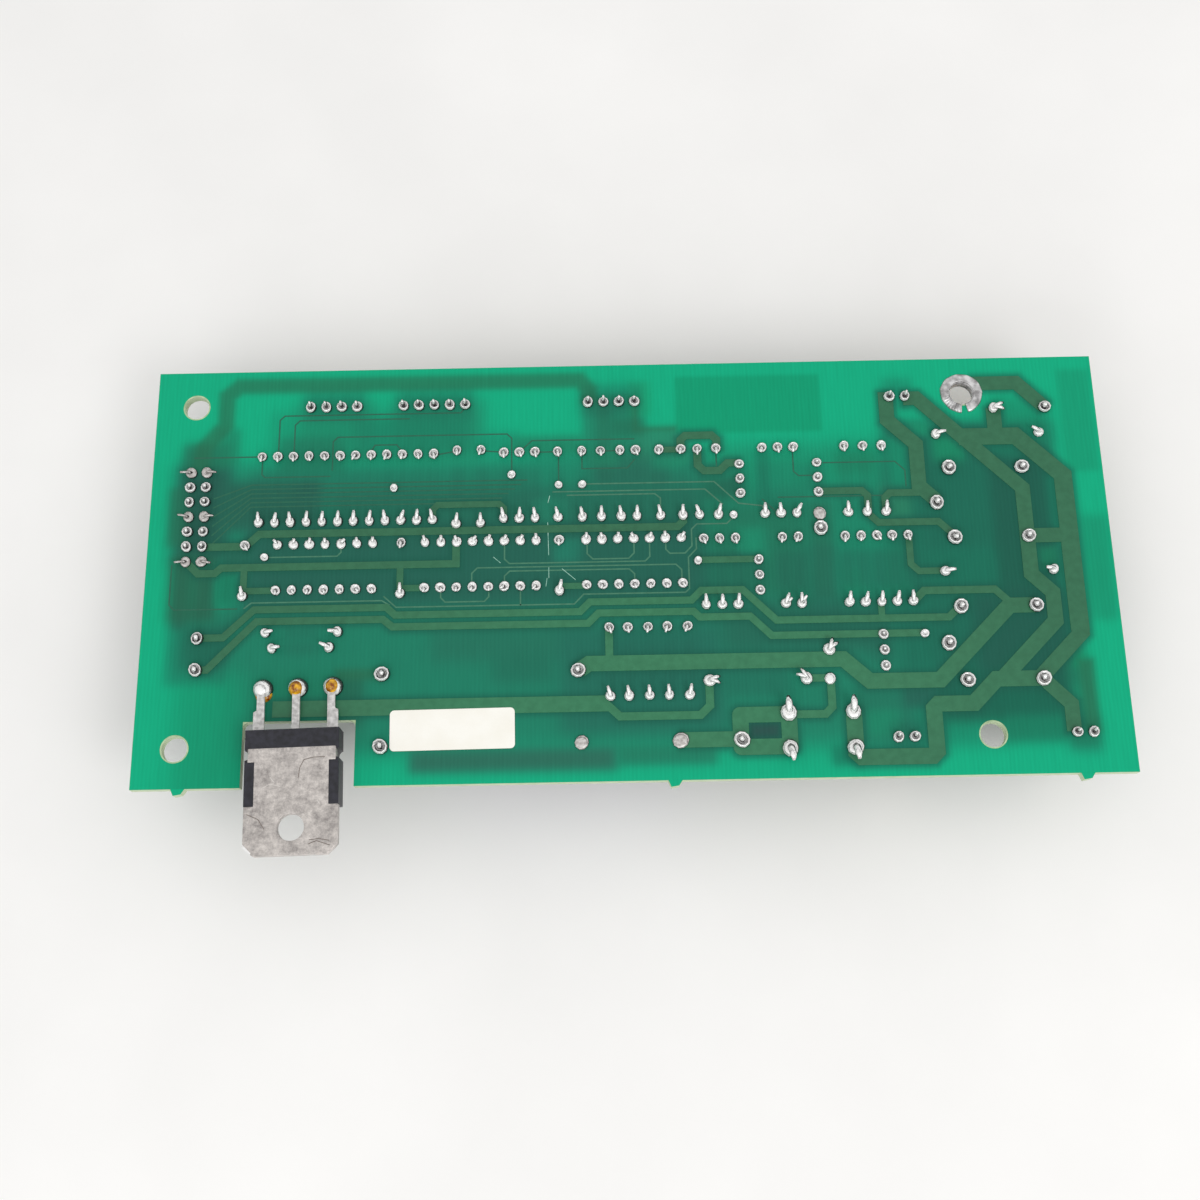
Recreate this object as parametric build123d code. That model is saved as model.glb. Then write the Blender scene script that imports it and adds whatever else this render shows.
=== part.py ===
from build123d import *
from math import atan2, cos, hypot, pi, radians, sin
import os

# Cutter control board: a through-hole circuit board lying component side down, with a flat power
# transistor in a notch of its lower edge.  Z = 0 is the solder side of the laminate, the solder
# joints and the transistor's metal back look up (+Z), and every other component hangs below.
# The origin is the middle of the four fixing holes.  Layout places are counted in steps of the
# drill grid from the lower left corner of the laminate: (column, row).

# ---------------------------------------------------------------- driving dimensions, mm
grid = 2.54                  # drill grid, one tenth of an inch
board_columns = 60.7         # laminate width in grid steps
board_rows = 27.42           # laminate height in grid steps
board_thickness = 1.6
copper = 0.07                # foil and the resin over it
hole_radius = 2.0            # fixing holes
left_holes, right_holes = 2.55, 52.15
low_holes, high_holes = 2.45, 24.95
notch_left, notch_right, notch_depth = 6.65, 13.5, 4.05
notch_corner = 1.0
nib_width, nib_depth = 2.2, 1.0
nib_columns = (2.9, 32.85, 57.6)

ring_outer, ring_height, ring_gap = 3.5, 0.3, 1.3

joint_sides, power_sides, bead_sides = 5, 6, 8
joint_tip = 0.34             # half width of a cut lead end
clinch = 1.2                 # sideways reach of a bent-over lead
chip_joint, pin_joint, leg_joint = (0.85, 0.9), (0.9, 1.9), (0.85, 1.0)      # foot radius, height
clinched_joint, via_joint = (0.95, 1.2), (0.65, 0.4)
power_height, spare_height = 1.3, 0.4

label_length, label_width, label_thickness, label_corner = 19.3, 6.4, 0.1, 0.7
label_place, label_turn = (19.4, 3.36), 0.5

case_width, case_length, case_thickness = 14.3, 11.7, 4.7
tab_thickness, tab_width, tab_reach = 1.4, 14.2, 19.15
tab_head, tab_waist, tab_head_top, tab_head_low = 13.4, 11.3, 2.9, 5.0
tab_chamfer, tab_hole_radius, tab_hole_drop = 1.5, 2.03, 15.0
transistor_place, transistor_skew, transistor_rise = (9.94, 3.32), 1.3, 3.3
lead_pitch, lead_thickness, lead_width, lead_shoulder = 5.45, 0.6, 1.2, 0.5
lead_run, shoulder_run, lead_depth = 7.4, 3.3, 2.25
fillet_radius, fillet_height, pad_offset = 1.5, 1.5, 0.3
case_chamfer, ear_drop, ear_radius = 0.8, 3.9, 0.75

ic_width, ic_height, ic_standoff, ic_end = 6.4, 3.3, 0.5, 2.0
ic_draft, ic_mark_radius, ic_mark_depth = 6.0, 0.9, 0.5
ic_row_span = 3.0            # grid steps between the two rows of legs
short_ic, long_ic = 19.3, 19.8
leg_width, leg_thickness = 0.5, 0.3

pin_size = 0.64
header_depth, header_base, header_wall, header_height = 5.8, 3.2, 1.0, 9.5
header_pin_reach, header_back = 11.3, 3.4
cut_past = 1.0               # how far a cutting shape runs on past the solid it cuts
shroud_length_margin, shroud_width, shroud_height, shroud_wall, shroud_floor = 7.6, 8.9, 9.1, 1.2, 2.6
shroud_pin_reach, shroud_key = 8.4, 4.5

relay_length, relay_width, relay_height, relay_standoff = 19.0, 15.5, 15.1, 0.4
relay_edge, relay_foot, relay_pin = 0.8, 1.6, 0.8
relay_coil_span, relay_contact_span, relay_throw = 4.7, 4.66, 5.6        # grid steps
relay_column, relay_moving = 50.88, 0.95

small_lead, power_lead = 0.56, 0.8
low_standoff, power_standoff = 0.25, 0.8
resistor_size = (6.3, 1.15, small_lead)      # body length, body radius, lead
row_diode_size = (6.8, 1.3, small_lead)
bypass_size = (4.6, 1.3, small_lead)
gate_resistor_size = (5.2, 0.95, small_lead)
relay_diode_size = (5.2, 1.35, small_lead)
power_diode_size = (9.5, 2.6, power_lead)
brake_size, brake_section = (24.0, 4.75, power_lead), (9.5, 9.0)
filter_size = (38.0, 4.5, power_lead)
sense_size = (14.5, 2.45, power_lead)
resistor_sides, square_edge = 7, 0.75

to92_radius, to92_flat, to92_height, to92_standoff = 2.3, 1.3, 4.7, 3.4

can_radius, can_height, can_standoff, can_groove = 4.9, 15.1, 0.4, 0.45
can_leads = 2.0              # grid steps between the leads
film_length, film_width, film_height, film_edge = 10.5, 4.8, 10.0, 0.6
film_leads = 3.3

blade_width, blade_thickness, blade_height, blade_shoulder = 6.35, 0.8, 8.0, 3.0
blade_hole, blade_leg, blade_leg_span, blade_chamfer = 0.9, 1.3, 2.2, 1.2

# ---------------------------------------------------------------- places and helpers
origin_column = (left_holes + right_holes) / 2
origin_row = (low_holes + high_holes) / 2
under = -board_thickness     # component side of the laminate


def at(column, row):
    """Millimetres from the origin for a place on the drill grid."""
    return (column - origin_column) * grid, (row - origin_row) * grid


def save(name, *solids):
    """Write one node: a single solid, or a group of like solids."""
    shape = solids[0] if len(solids) == 1 else Compound(children=list(solids))
    export_step(shape, f"parts/{name}.step")


def prism(points, low, high):
    """Closed outline in plan, raised from one height to another."""
    outline = make_face(Polyline(*points, close=True))
    return Pos(0, 0, low) * extrude(outline, high - low, dir=(0, 0, 1))


def block(x, y, low, high, width, depth):
    """Upright box centred on a place in plan."""
    return Pos(x, y, low) * Box(width, depth, high - low, align=(Align.CENTER, Align.CENTER, Align.MIN))


# ---------------------------------------------------------------- copper routes
# (width in grid steps, corner places) of the foil bands; routes of one net that meet are one piece
solder_side_routes = [
    (0.46, [(3.55, 9.4), (5.1, 9.4), (6.95, 11.17), (15.2, 11.17), (15.75, 10.66), (27.25, 10.66),
            (27.87, 11.28), (34.2, 11.28), (34.82, 11.9), (37.4, 11.9), (39.42, 9.88), (50.1, 9.88),
            (50.75, 10.5)]),
    (0.46, [(3.55, 7.36), (4.2, 7.36), (7.15, 10.4), (15.0, 10.4), (15.6, 9.9), (27.75, 9.9),
            (28.4, 10.55), (34.3, 10.55), (34.68, 10.17), (37.8, 10.17), (39.07, 8.9), (48.5, 8.9)]),
    (0.4, [(45.95, 10.9), (45.95, 9.9)]),
    (0.98, [(27.2, 6.95), (27.75, 7.32), (43.38, 7.32), (44.92, 5.9), (49.23, 5.9), (53.89, 10.56),
            (55.45, 10.56)]),
    (0.48, [(29.02, 9.6), (29.02, 7.4)]),
    (0.48, [(53.8, 10.9), (53.08, 11.62), (48.68, 11.62), (48.02, 10.96)]),
    (1.0, [(8.4, 4.8), (28.9, 4.8)]),
    (0.5, [(28.75, 4.8), (29.6, 3.97), (34.5, 3.97), (35.1, 4.55), (35.1, 6.1)]),
    (0.95, [(33.25, 2.45), (36.9, 2.45)]),
    (0.98, [(36.9, 3.93), (39.85, 3.93), (39.85, 1.95), (36.9, 1.95), (36.9, 3.93)]),
    (0.48, [(39.9, 3.9), (42.1, 3.9), (42.53, 4.33), (42.53, 6.12)]),
    (0.46, [(42.45, 6.15), (41.05, 6.15)]),
    (0.98, [(43.8, 4.1), (43.8, 1.5), (44.1, 1.2), (48.38, 1.2), (48.68, 1.5), (48.68, 4.1), (48.98, 4.4),
            (51.16, 4.4), (52.65, 5.89), (55.45, 5.89)]),
    (0.95, [(53.05, 5.92), (56.65, 9.52), (56.65, 11.36), (55.45, 12.58), (55.45, 18.33),
            (51.5, 22.32), (49.2, 24.66), (48.35, 24.66)]),
    (1.15, [(51.7, 21.9), (55.35, 21.9), (58.1, 19.15), (58.1, 8.85)]),
    (0.95, [(58.18, 9.4), (58.18, 8.76), (55.4, 5.98)]),
    (0.95, [(55.45, 15.12), (58.0, 15.12)]),
    (0.95, [(54.1, 23.85), (54.1, 22.0)]),
    (0.9, [(55.6, 5.75), (57.05, 4.25), (57.05, 2.55)]),
    (0.95, [(52.9, 25.62), (55.75, 25.62), (57.4, 23.9)]),
    (0.95, [(47.22, 25.12), (47.22, 23.16), (48.92, 21.46), (48.92, 18.6), (49.95, 17.57)]),
    (0.46, [(48.9, 18.15), (47.0, 18.15), (46.7, 17.85), (46.7, 16.95)]),
    (0.46, [(42.55, 18.35), (45.25, 18.35), (45.6, 18.0), (45.6, 16.75), (46.18, 16.17),
            (49.95, 16.17), (50.85, 15.27)]),
    (0.42, [(48.0, 15.3), (48.0, 13.38), (48.48, 12.9), (50.1, 12.9)]),
    (0.5, [(3.5, 15.35), (6.2, 15.35), (7.05, 16.15), (33.5, 16.15), (33.85, 16.5), (33.85, 16.9)]),
    (0.42, [(18.0, 16.9), (18.0, 17.6), (18.3, 17.9), (22.2, 17.9), (22.5, 17.6), (22.5, 16.9)]),
    (0.48, [(2.55, 14.35), (3.3, 13.6), (4.35, 13.6), (4.75, 13.95), (19.5, 13.95), (19.5, 15.4)]),
    (0.42, [(6.2, 14.0), (6.2, 12.4), (8.2, 12.4)]),
    (0.42, [(16.0, 14.0), (16.0, 12.4), (17.5, 12.4)]),
    (0.4, [(26.1, 12.35), (27.7, 12.35)]),
    (0.42, [(34.7, 13.9), (38.5, 13.9)]),
    (0.5, [(33.85, 21.4), (33.85, 22.05), (34.15, 22.35), (35.85, 22.35), (36.15, 22.05), (36.15, 21.4)]),
    (0.5, [(34.9, 21.3), (34.9, 20.3), (35.3, 19.9), (36.3, 19.9), (36.8, 20.4), (37.5, 20.4)]),
    (0.4, [(32.45, 21.4), (33.85, 21.4)]),
]
component_side_routes = [
    (1.05, [(3.0, 20.6), (3.2, 22.1), (4.5, 23.7), (4.5, 25.7), (5.3, 26.4), (27.4, 26.4), (28.0, 25.7),
            (28.0, 24.8)]),
    (0.3, [(30.95, 24.75), (30.95, 22.85), (33.6, 22.85)]),
    (0.9, [(58.2, 7.0), (58.2, 2.6)]),
    (0.7, [(12.2, 6.9), (15.0, 6.9)]),
]


def strip(width, places):
    """Outline of a foil strip: corners mitred, ends square, loops closed by their last leg."""
    half = width * grid / 2
    points = [at(*place) for place in places]
    headings = [atan2(b[1] - a[1], b[0] - a[0]) for a, b in zip(points, points[1:])]
    left, right = [], []
    for k, (x, y) in enumerate(points):
        before = headings[max(k - 1, 0)]
        after = headings[min(k, len(headings) - 1)]
        reach = half / cos((after - before) / 2)
        side = (before + after) / 2 + radians(90)
        left.append((x + reach * cos(side), y + reach * sin(side)))
        right.append((x - reach * cos(side), y - reach * sin(side)))
    return make_face(Polyline(*left, *reversed(right), close=True))


def foil(routes, low):
    """All strips of one side, fused where they meet, at the foil's thickness."""
    legs = []
    for width, places in routes:
        closed = places[0] == places[-1]
        if closed:
            legs += [strip(width, [a, b]) for a, b in zip(places, places[1:])]
            half = width * grid / 2
            legs += [Pos(*at(*place)) * Circle(half) for place in places[:-1]]
        else:
            legs.append(strip(width, places))
    sheet = Sketch() + legs
    return [Pos(0, 0, low) * extrude(face, copper, dir=(0, 0, 1)) for face in sheet.faces()]


def on_foil(routes, column, row, reach):
    """True where a round foot of the given radius meets a strip of foil."""
    x, y = at(column, row)
    for width, places in routes:
        points = [at(*place) for place in places]
        for (ax, ay), (bx, by) in zip(points, points[1:]):
            span = hypot(bx - ax, by - ay)
            along = ((x - ax) * (bx - ax) + (y - ay) * (by - ay)) / span
            along = min(max(along, 0), span)
            away = hypot(ax + (bx - ax) * along / span - x, ay + (by - ay) * along / span - y)
            if away < width * grid / 2 * 1.5 + reach:
                return True
    return False


def seat(column, row, reach=small_lead):
    """Height at which a lead from below meets the board: the laminate, or the foil on it."""
    return under - (copper if on_foil(component_side_routes, column, row, reach) else 0)


# ---------------------------------------------------------------- laminate
def laminate():
    """FR-4 panel with its fixing holes, the transistor's notch and three break-off nibs."""
    x0, y0 = at(0, 0)
    x1, y1 = at(board_columns, board_rows)
    nl, nt = at(notch_left, notch_depth)
    nr = at(notch_right, 0)[0]
    panel = prism([(x0, y0), (nl, y0), (nl, nt), (nr, nt), (nr, y0), (x1, y0), (x1, y1), (x0, y1)],
                  under, 0)
    inner = [e for e in panel.edges().filter_by(Axis.Z) if abs(e.center().Y - nt) < grid / 100]
    panel = fillet(inner, notch_corner)
    for column in nib_columns:
        x = at(column, 0)[0]
        half = nib_width / 2
        nib = [(x - half, y0), (x - half * 0.6, y0 - nib_depth), (x + half * 0.5, y0 - nib_depth * 0.8),
               (x + half, y0)]
        panel += prism(nib, under, 0)
    holes = [Pos(*at(c, r)) * Cylinder(hole_radius, 3 * board_thickness)
             for c in (left_holes, right_holes) for r in (low_holes, high_holes)]
    return panel - holes


def plated_ring():
    """Rough solder ring round the one plated fixing hole, broken at its lower side."""
    ring = Circle(ring_outer) - Circle(hole_radius)
    ring -= Pos(0, -ring_outer) * Rectangle(ring_gap, ring_outer)
    return Pos(*at(right_holes, high_holes), copper) * extrude(ring, ring_height, dir=(0, 0, 1))


# ---------------------------------------------------------------- solder joints
def ring(x, y, z, radius, sides):
    """Corners of a level regular polygon."""
    turns = [2 * pi * k / sides for k in range(sides)]
    return [(x + radius * cos(turn), y + radius * sin(turn), z) for turn in turns]


def joint(column, row, radius, height, lean=(0, 0), sides=joint_sides):
    """Solder fillet: a many-sided foot that rises to the cut end of its lead."""
    low = copper if on_foil(solder_side_routes, column, row, radius) else 0
    x, y = at(column, row)
    tip = ring(x + lean[0], y + lean[1], height, joint_tip, sides)
    return ConvexPolyhedron(ring(x, y, low, radius, sides) + tip)


def row_of(start, row, count, step=1.0):
    """Places along one row of the drill grid."""
    return [(start + k * step, row) for k in range(count)]


def column_of(column, start, count, step=1.0):
    """Places up one column of the drill grid."""
    return [(column, start + k * step) for k in range(count)]


# ---------------------------------------------------------------- leaded parts
def lying_part(first, second, length, radius, lead, standoff=low_standoff, sides=resistor_sides,
               square=None):
    """An axial part along the board: its body and its two leads bent to the holes."""
    (ax, ay), (bx, by) = at(*first), at(*second)
    span = hypot(bx - ax, by - ay)
    run = Plane(origin=(ax, ay, 0), x_dir=((bx - ax) / span, (by - ay) / span, 0),
                z_dir=((by - ay) / span, -(bx - ax) / span, 0))
    axis = under - copper - standoff - (square[1] / 2 if square else radius)
    face = Plane(origin=run.from_local_coords((span / 2 - length / 2, axis, 0)), z_dir=run.x_dir,
                 x_dir=run.z_dir)
    if square:
        profile = chamfer(Rectangle(*square).vertices(), square_edge)
    elif sides:
        profile = RegularPolygon(radius, sides)
    else:
        profile = Circle(radius)
    body = extrude(face * profile, length)
    half = lead / 2
    leads = []
    for place, hole, end, way in ((first, 0, span / 2 - length / 2, 1),
                                  (second, span, span / 2 + length / 2, -1)):
        top = seat(*place, lead)
        bend = [(hole - way * half, top), (hole + way * half, top), (hole + way * half, axis + half),
                (end, axis + half), (end, axis - half), (hole - way * half, axis - half)]
        leads.append(extrude(run * make_face(Polyline(*bend, close=True)), half, both=True))
    return body, leads


def lying_group(name, places, *sizes, **options):
    """A node of like bodies and a node of their leads."""
    bodies, leads = [], []
    for first, second in places:
        body, pair = lying_part(first, second, *sizes, **options)
        bodies.append(body)
        leads += pair
    save(name, *bodies)
    save(name + "_leads", *leads)


# ---------------------------------------------------------------- power transistor
def transistor():
    """Moulded case, T-shaped metal tab let into its back, and three formed leads."""
    back = transistor_rise
    place = Pos(*at(*transistor_place)) * Rot(0, 0, transistor_skew)
    low = -tab_reach
    half, head, waist, cut = tab_width / 2, tab_head / 2, tab_waist / 2, tab_chamfer
    outline = [(-head, -tab_head_top), (head, -tab_head_top), (head, -tab_head_low),
               (waist, -tab_head_low), (waist, -case_length), (half, -case_length), (half, low + cut),
               (half - cut, low), (cut - half, low), (-half, low + cut), (-half, -case_length),
               (-waist, -case_length), (-waist, -tab_head_low), (-head, -tab_head_low)]
    tab = prism(outline, back - tab_thickness, back)
    tab -= Pos(0, -tab_hole_drop, back) * Cylinder(tab_hole_radius, 3 * tab_thickness)
    case = Pos(0, -case_length / 2, back) * Box(case_width, case_length, case_thickness,
                                                align=(Align.CENTER, Align.CENTER, Align.MAX))
    case = chamfer(case.faces().sort_by(Axis.Z)[0].edges(), case_chamfer)
    for side in (-1, 1):
        notch = Pos(side * case_width / 2, -ear_drop, back) * Cylinder(ear_radius, 3 * case_thickness)
        case -= notch
    case -= tab
    leads = []
    z0 = back - lead_depth - lead_thickness
    inner = lead_width / 2
    for k in (-1, 0, 1):
        if k:
            plan = [(-inner, 0), (inner + lead_shoulder, 0), (inner + lead_shoulder, shoulder_run),
                    (inner, shoulder_run + lead_shoulder / 2), (inner, lead_run), (-inner, lead_run)]
            plan = [(k * (lead_pitch + px), py) for px, py in plan]
        else:
            plan = [(-inner, 0), (inner, 0), (inner, lead_run), (-inner, lead_run)]
        lead = prism(plan, z0, z0 + lead_thickness)
        foot = Pos(k * lead_pitch, lead_run, copper) * Box(
            lead_width, lead_thickness, z0 - copper, align=(Align.CENTER, Align.MAX, Align.MIN))
        leads.append(lead + foot)
    joints = []
    for k, lead in zip((-1, 0, 1), leads):
        x = k * lead_pitch + pad_offset
        bead = ConvexPolyhedron(ring(x, lead_run, copper, fillet_radius, bead_sides)
                                + ring(x, lead_run, copper + fillet_height, fillet_radius / 2, bead_sides))
        joints.append(bead - lead)
    save("transistor_case", place * case)
    save("transistor_tab", place * tab)
    save("transistor_leads", *[place * lead for lead in leads])
    save("transistor_solder", *[place * bead for bead in joints])


# ---------------------------------------------------------------- chips
def chip(name, column, row, count, length):
    """Dual in-line package on its back: drafted body, pin-one mark and two rows of legs."""
    x, y = at(column + (count / 2 - 1) / 2, row + ic_row_span / 2)
    top = under - ic_standoff
    middle = top - ic_height / 2
    profile = Pos(x, y, middle) * Rectangle(length, ic_width)
    body = extrude(profile, ic_height / 2, taper=ic_draft) + extrude(
        profile, -ic_height / 2, dir=(0, 0, 1), taper=ic_draft)
    mark = Pos(x - length / 2, y, top - ic_height) * Cylinder(ic_mark_radius, 2 * ic_mark_depth)
    save(name + "_case", body - mark)
    legs = []
    reach = ic_row_span * grid / 2
    for k in range(count // 2):
        for side in (-1, 1):
            px, _ = at(column + k, row)
            t = leg_thickness
            level = seat(column + k, row if side < 0 else row + ic_row_span)
            bend = [(side * ic_width / 2, middle - t / 2), (side * (reach + t / 2), middle - t / 2),
                    (side * (reach + t / 2), level), (side * (reach - t / 2), level),
                    (side * (reach - t / 2), middle + t / 2), (side * ic_width / 2, middle + t / 2)]
            plane = Plane(origin=(px, y, 0), x_dir=(0, 1, 0), z_dir=(1, 0, 0))
            legs.append(extrude(plane * make_face(Polyline(*bend, close=True)), leg_width / 2, both=True))
    save(name + "_legs", *legs)


# ---------------------------------------------------------------- connectors
def wall_header(places, wall_side=1):
    """Friction-lock header: base block and back wall on a row of square pins."""
    (x0, y), (x1, _) = at(*places[0]), at(*places[-1])
    middle, length = (x0 + x1) / 2, x1 - x0 + grid
    base = under - copper
    back = wall_side * header_back
    front = back - wall_side * header_depth
    inner = back - wall_side * header_wall
    profile = [(front, base), (back, base), (back, base - header_height),
               (inner, base - header_height), (inner, base - header_base), (front, base - header_base)]
    plane = Plane(origin=(middle, y, 0), x_dir=(0, 1, 0), z_dir=(1, 0, 0))
    housing = extrude(plane * make_face(Polyline(*profile, close=True)), length / 2, both=True)
    pins = []
    for place in places:
        px, py = at(*place)
        housing -= block(px, py, base - header_base - cut_past, base + cut_past, pin_size, pin_size)
        pins.append(block(px, py, base - header_pin_reach, seat(*place), pin_size, pin_size))
    return housing, pins


def ribbon_header(places):
    """Two-row shrouded header with its polarising slot."""
    xs = [at(*place)[0] for place in places]
    ys = [at(*place)[1] for place in places]
    x, y = (min(xs) + max(xs)) / 2, (min(ys) + max(ys)) / 2
    length = max(ys) - min(ys) + shroud_length_margin
    base = under - copper
    shell = block(x, y, base - shroud_height, base, shroud_width, length)
    mouth = base - shroud_height - cut_past
    shell -= block(x, y, mouth, base - shroud_floor, shroud_width - 2 * shroud_wall,
                   length - 2 * shroud_wall)
    shell -= block(x + shroud_width / 2, y, mouth, base - shroud_floor, 2 * shroud_wall + cut_past,
                   shroud_key)
    pins = []
    for place in places:
        px, py = at(*place)
        shell -= block(px, py, base - shroud_floor - cut_past, base + cut_past, pin_size, pin_size)
        pins.append(block(px, py, base - shroud_pin_reach, seat(*place), pin_size, pin_size))
    save("ribbon_header_shell", shell)
    save("ribbon_header_pins", *pins)


# ---------------------------------------------------------------- relays and upright parts
def relay_places(centre_row):
    """Coil pair, moving contact and the two fixed contacts of one relay."""
    coil, contact = relay_coil_span / 2, relay_contact_span / 2
    moving = relay_column - relay_moving
    return [(relay_column, centre_row + coil), (relay_column, centre_row - coil), (moving, centre_row),
            (moving + relay_throw, centre_row + contact), (moving + relay_throw, centre_row - contact)]


def relay(name, places):
    """Sealed cube relay on its flat pins; its case stands on two low feet."""
    moving, fixed = places[2], places[3]
    x = (at(*moving)[0] + at(*fixed)[0]) / 2
    y = at(*moving)[1]
    base = under - copper
    case = block(x, y, base - relay_standoff - relay_height, base - relay_standoff, relay_length,
                 relay_width)
    edges = case.edges().filter_by(Axis.Z) + case.faces().sort_by(Axis.Z)[0].edges()
    case = chamfer(edges, relay_edge)
    for side in (-1, 1):
        foot_y = y + side * (relay_width - relay_foot) / 2
        case += block(x, foot_y, base - relay_standoff, base, relay_length / 3, relay_foot)
    save(name, case)
    return [block(*at(*place), base - relay_standoff, seat(*place), relay_pin, relay_pin / 2)
            for place in places]


def small_transistor(column, row):
    """TO-92: half-round case on three straight leads; row is its lowest lead."""
    x, y = at(column, row + 1)
    top = under - to92_standoff
    plan = Circle(to92_radius) - Pos(to92_radius + to92_flat, 0) * Rectangle(2 * to92_radius,
                                                                            3 * to92_radius)
    case = Pos(x, y, top) * extrude(plan, -to92_height)
    legs = [block(*at(column, row + k), top, seat(column, row + k), leg_width, leg_width)
            for k in range(3)]
    return case, legs


def supply_can(column, row):
    """Upright electrolytic capacitor with its rolled groove; row is its lower lead."""
    x, y = at(column, row + can_leads / 2)
    top = under - copper - can_standoff
    r, h, g = can_radius, can_height, can_groove
    neck = -h / 10
    profile = [(0, 0), (r, 0), (r, neck), (r - g, neck - g), (r, neck - 2 * g), (r, -h), (0, -h)]
    plane = Plane(origin=(x, y, top), x_dir=(1, 0, 0), z_dir=(0, -1, 0))
    can = revolve(plane * make_face(Polyline(*profile, close=True)), Axis((x, y, 0), (0, 0, 1)))
    legs = [block(*at(column, row + k * can_leads), top, seat(column, row + k * can_leads), small_lead,
                  small_lead) for k in (0, 1)]
    return can, legs


def film_capacitor(column, row):
    """Boxed film capacitor; column is its left lead."""
    x, y = at(column + film_leads / 2, row)
    top = under - copper - can_standoff
    box = block(x, y, top - film_height, top, film_length, film_width)
    box = chamfer(box.faces().sort_by(Axis.Z)[0].edges() + box.edges().filter_by(Axis.Z), film_edge)
    legs = [block(*at(column + k * film_leads, row), top, seat(column + k * film_leads, row), small_lead,
                  small_lead) for k in (0, 1)]
    return box, legs


def blade_terminal(column, row):
    """Push-on blade with a locating hole, standing on two legs; row is its lower leg."""
    x, y = at(column, row + blade_leg_span / 2)
    base = under - copper
    w, low, tip = blade_width / 2, base - blade_shoulder, base - blade_shoulder - blade_height
    reach = blade_leg_span * grid / 2
    leg, crotch = blade_leg / 2, base - blade_shoulder / 3
    outline = [(-w, low), (-reach - leg, low), (-reach - leg, seat(column, row, blade_leg)),
               (-reach + leg, seat(column, row, blade_leg)), (-reach + leg, crotch),
               (reach - leg, crotch), (reach - leg, seat(column, row + blade_leg_span, blade_leg)),
               (reach + leg, seat(column, row + blade_leg_span, blade_leg)), (reach + leg, low), (w, low),
               (w, tip + blade_chamfer), (w - blade_chamfer, tip), (blade_chamfer - w, tip),
               (-w, tip + blade_chamfer)]
    plane = Plane(origin=(x, y, 0), x_dir=(0, 1, 0), z_dir=(1, 0, 0))
    blade = extrude(plane * make_face(Polyline(*outline, close=True)), blade_thickness / 2, both=True)
    hole = Plane(origin=(x, y, tip + blade_height / 2), z_dir=(1, 0, 0)) * Cylinder(
        blade_hole, 3 * blade_thickness)
    return blade - hole


# ---------------------------------------------------------------- the board
os.makedirs("parts", exist_ok=True)
save("circuit_board", laminate())
save("solder_side_tracks", *foil(solder_side_routes, 0))
save("component_side_tracks", *foil(component_side_routes, under - copper))
save("plated_hole_ring", plated_ring())
sticker = fillet(Rectangle(label_length, label_width).vertices(), label_corner)
save("label", Pos(*at(*label_place), copper) * Rot(0, 0, label_turn) * extrude(sticker, label_thickness))
transistor()

chips = {"left_chip": (8.25, 12.4, 14, short_ic), "middle_chip": (17.55, 12.4, 16, long_ic),
         "right_chip": (27.7, 12.4, 14, short_ic)}
for name, sizes in chips.items():
    chip(name, *sizes)

ribbon_places = column_of(2.5, 14.38, 7) + column_of(3.5, 14.38, 7)
ribbon_header(ribbon_places)
header_rows = {
    "sensor_header": row_of(10, 24.78, 4),
    "panel_header": row_of(16, 24.78, 5),
    "motor_header": row_of(27.95, 24.78, 4),
}
header_pins, header_places = [], []
for name, places in header_rows.items():
    housing, pins = wall_header(places)
    save(name + "_housing", housing)
    header_pins += pins
    header_places += places
save("header_pins", *header_pins)
pair_housings, pair_pins, pair_places = [], [], []
for start, row, side in ((47.45, 24.78, 1), (57.2, 2.5, -1), (46.4, 2.4, -1)):
    places = row_of(start, row, 2)
    housing, pins = wall_header(places, side)
    pair_housings.append(housing)
    pair_pins += pins
    pair_places += places
save("two_pin_housings", *pair_housings)
save("two_pin_header_pins", *pair_pins)

upper_relay = relay_places(17.42)
lower_relay = relay_places(8.2)
save("relay_pins", *relay("upper_relay", upper_relay), *relay("lower_relay", lower_relay))

row_columns = list(range(7, 19)) + [22.5, 23.5, 24.5, 25.95, 27.5, 28.7, 29.95, 30.95, 32.45, 33.85,
                                    34.9, 36.1, 39.05, 40.05, 41.05, 44.3, 45.5, 46.7]
resistor_row = [((c, 16.9), (c, 21.4)) for c in row_columns]
diode_row = [((c, 16.6), (c, 21.6)) for c in (19.5, 21.05)]
logic_row = [((c, 10.95), (c, 15.3)) for c in (35.1, 36.1, 37.1, 40.05, 41.05, 44, 45, 46, 46.95, 47.95)]
driver_row = [((c, 5.25), (c, 9.6)) for c in (29.05, 30.2, 31.45, 32.65, 33.9)]
bypass_row = [((c, 12.05), (c, 15.4)) for c in (6.2, 16.05, 26.0)]
gate_pair = [((7.75, 9.65), (12.25, 9.65)), ((8.2, 8.65), (11.75, 8.65))]
relay_diode_pair = [((50.25, 22.1), (56.85, 22.1)), ((50.1, 12.85), (56.85, 12.85))]
lying_group("resistors", resistor_row, *resistor_size)
lying_group("signal_diodes", diode_row, *row_diode_size)
lying_group("logic_resistors", logic_row, *resistor_size)
lying_group("driver_resistors", driver_row, *resistor_size)
lying_group("bypass_capacitors", bypass_row, *bypass_size)
lying_group("gate_resistors", gate_pair, *gate_resistor_size)
lying_group("relay_diodes", relay_diode_pair, *relay_diode_size, sides=None)
power_diode_places = ((35.15, 6.12), (41.05, 6.15))
brake_places = ((15.05, 6.88), (27.1, 6.9))
filter_places = ((15.05, 2.37), (36.95, 2.4))
sense_places = ((42.55, 7.95), (42.5, 15.85))
lying_group("power_diode", [power_diode_places], *power_diode_size, sides=None)
lying_group("brake_resistor", [brake_places], *brake_size, standoff=power_standoff, square=brake_section)
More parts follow.
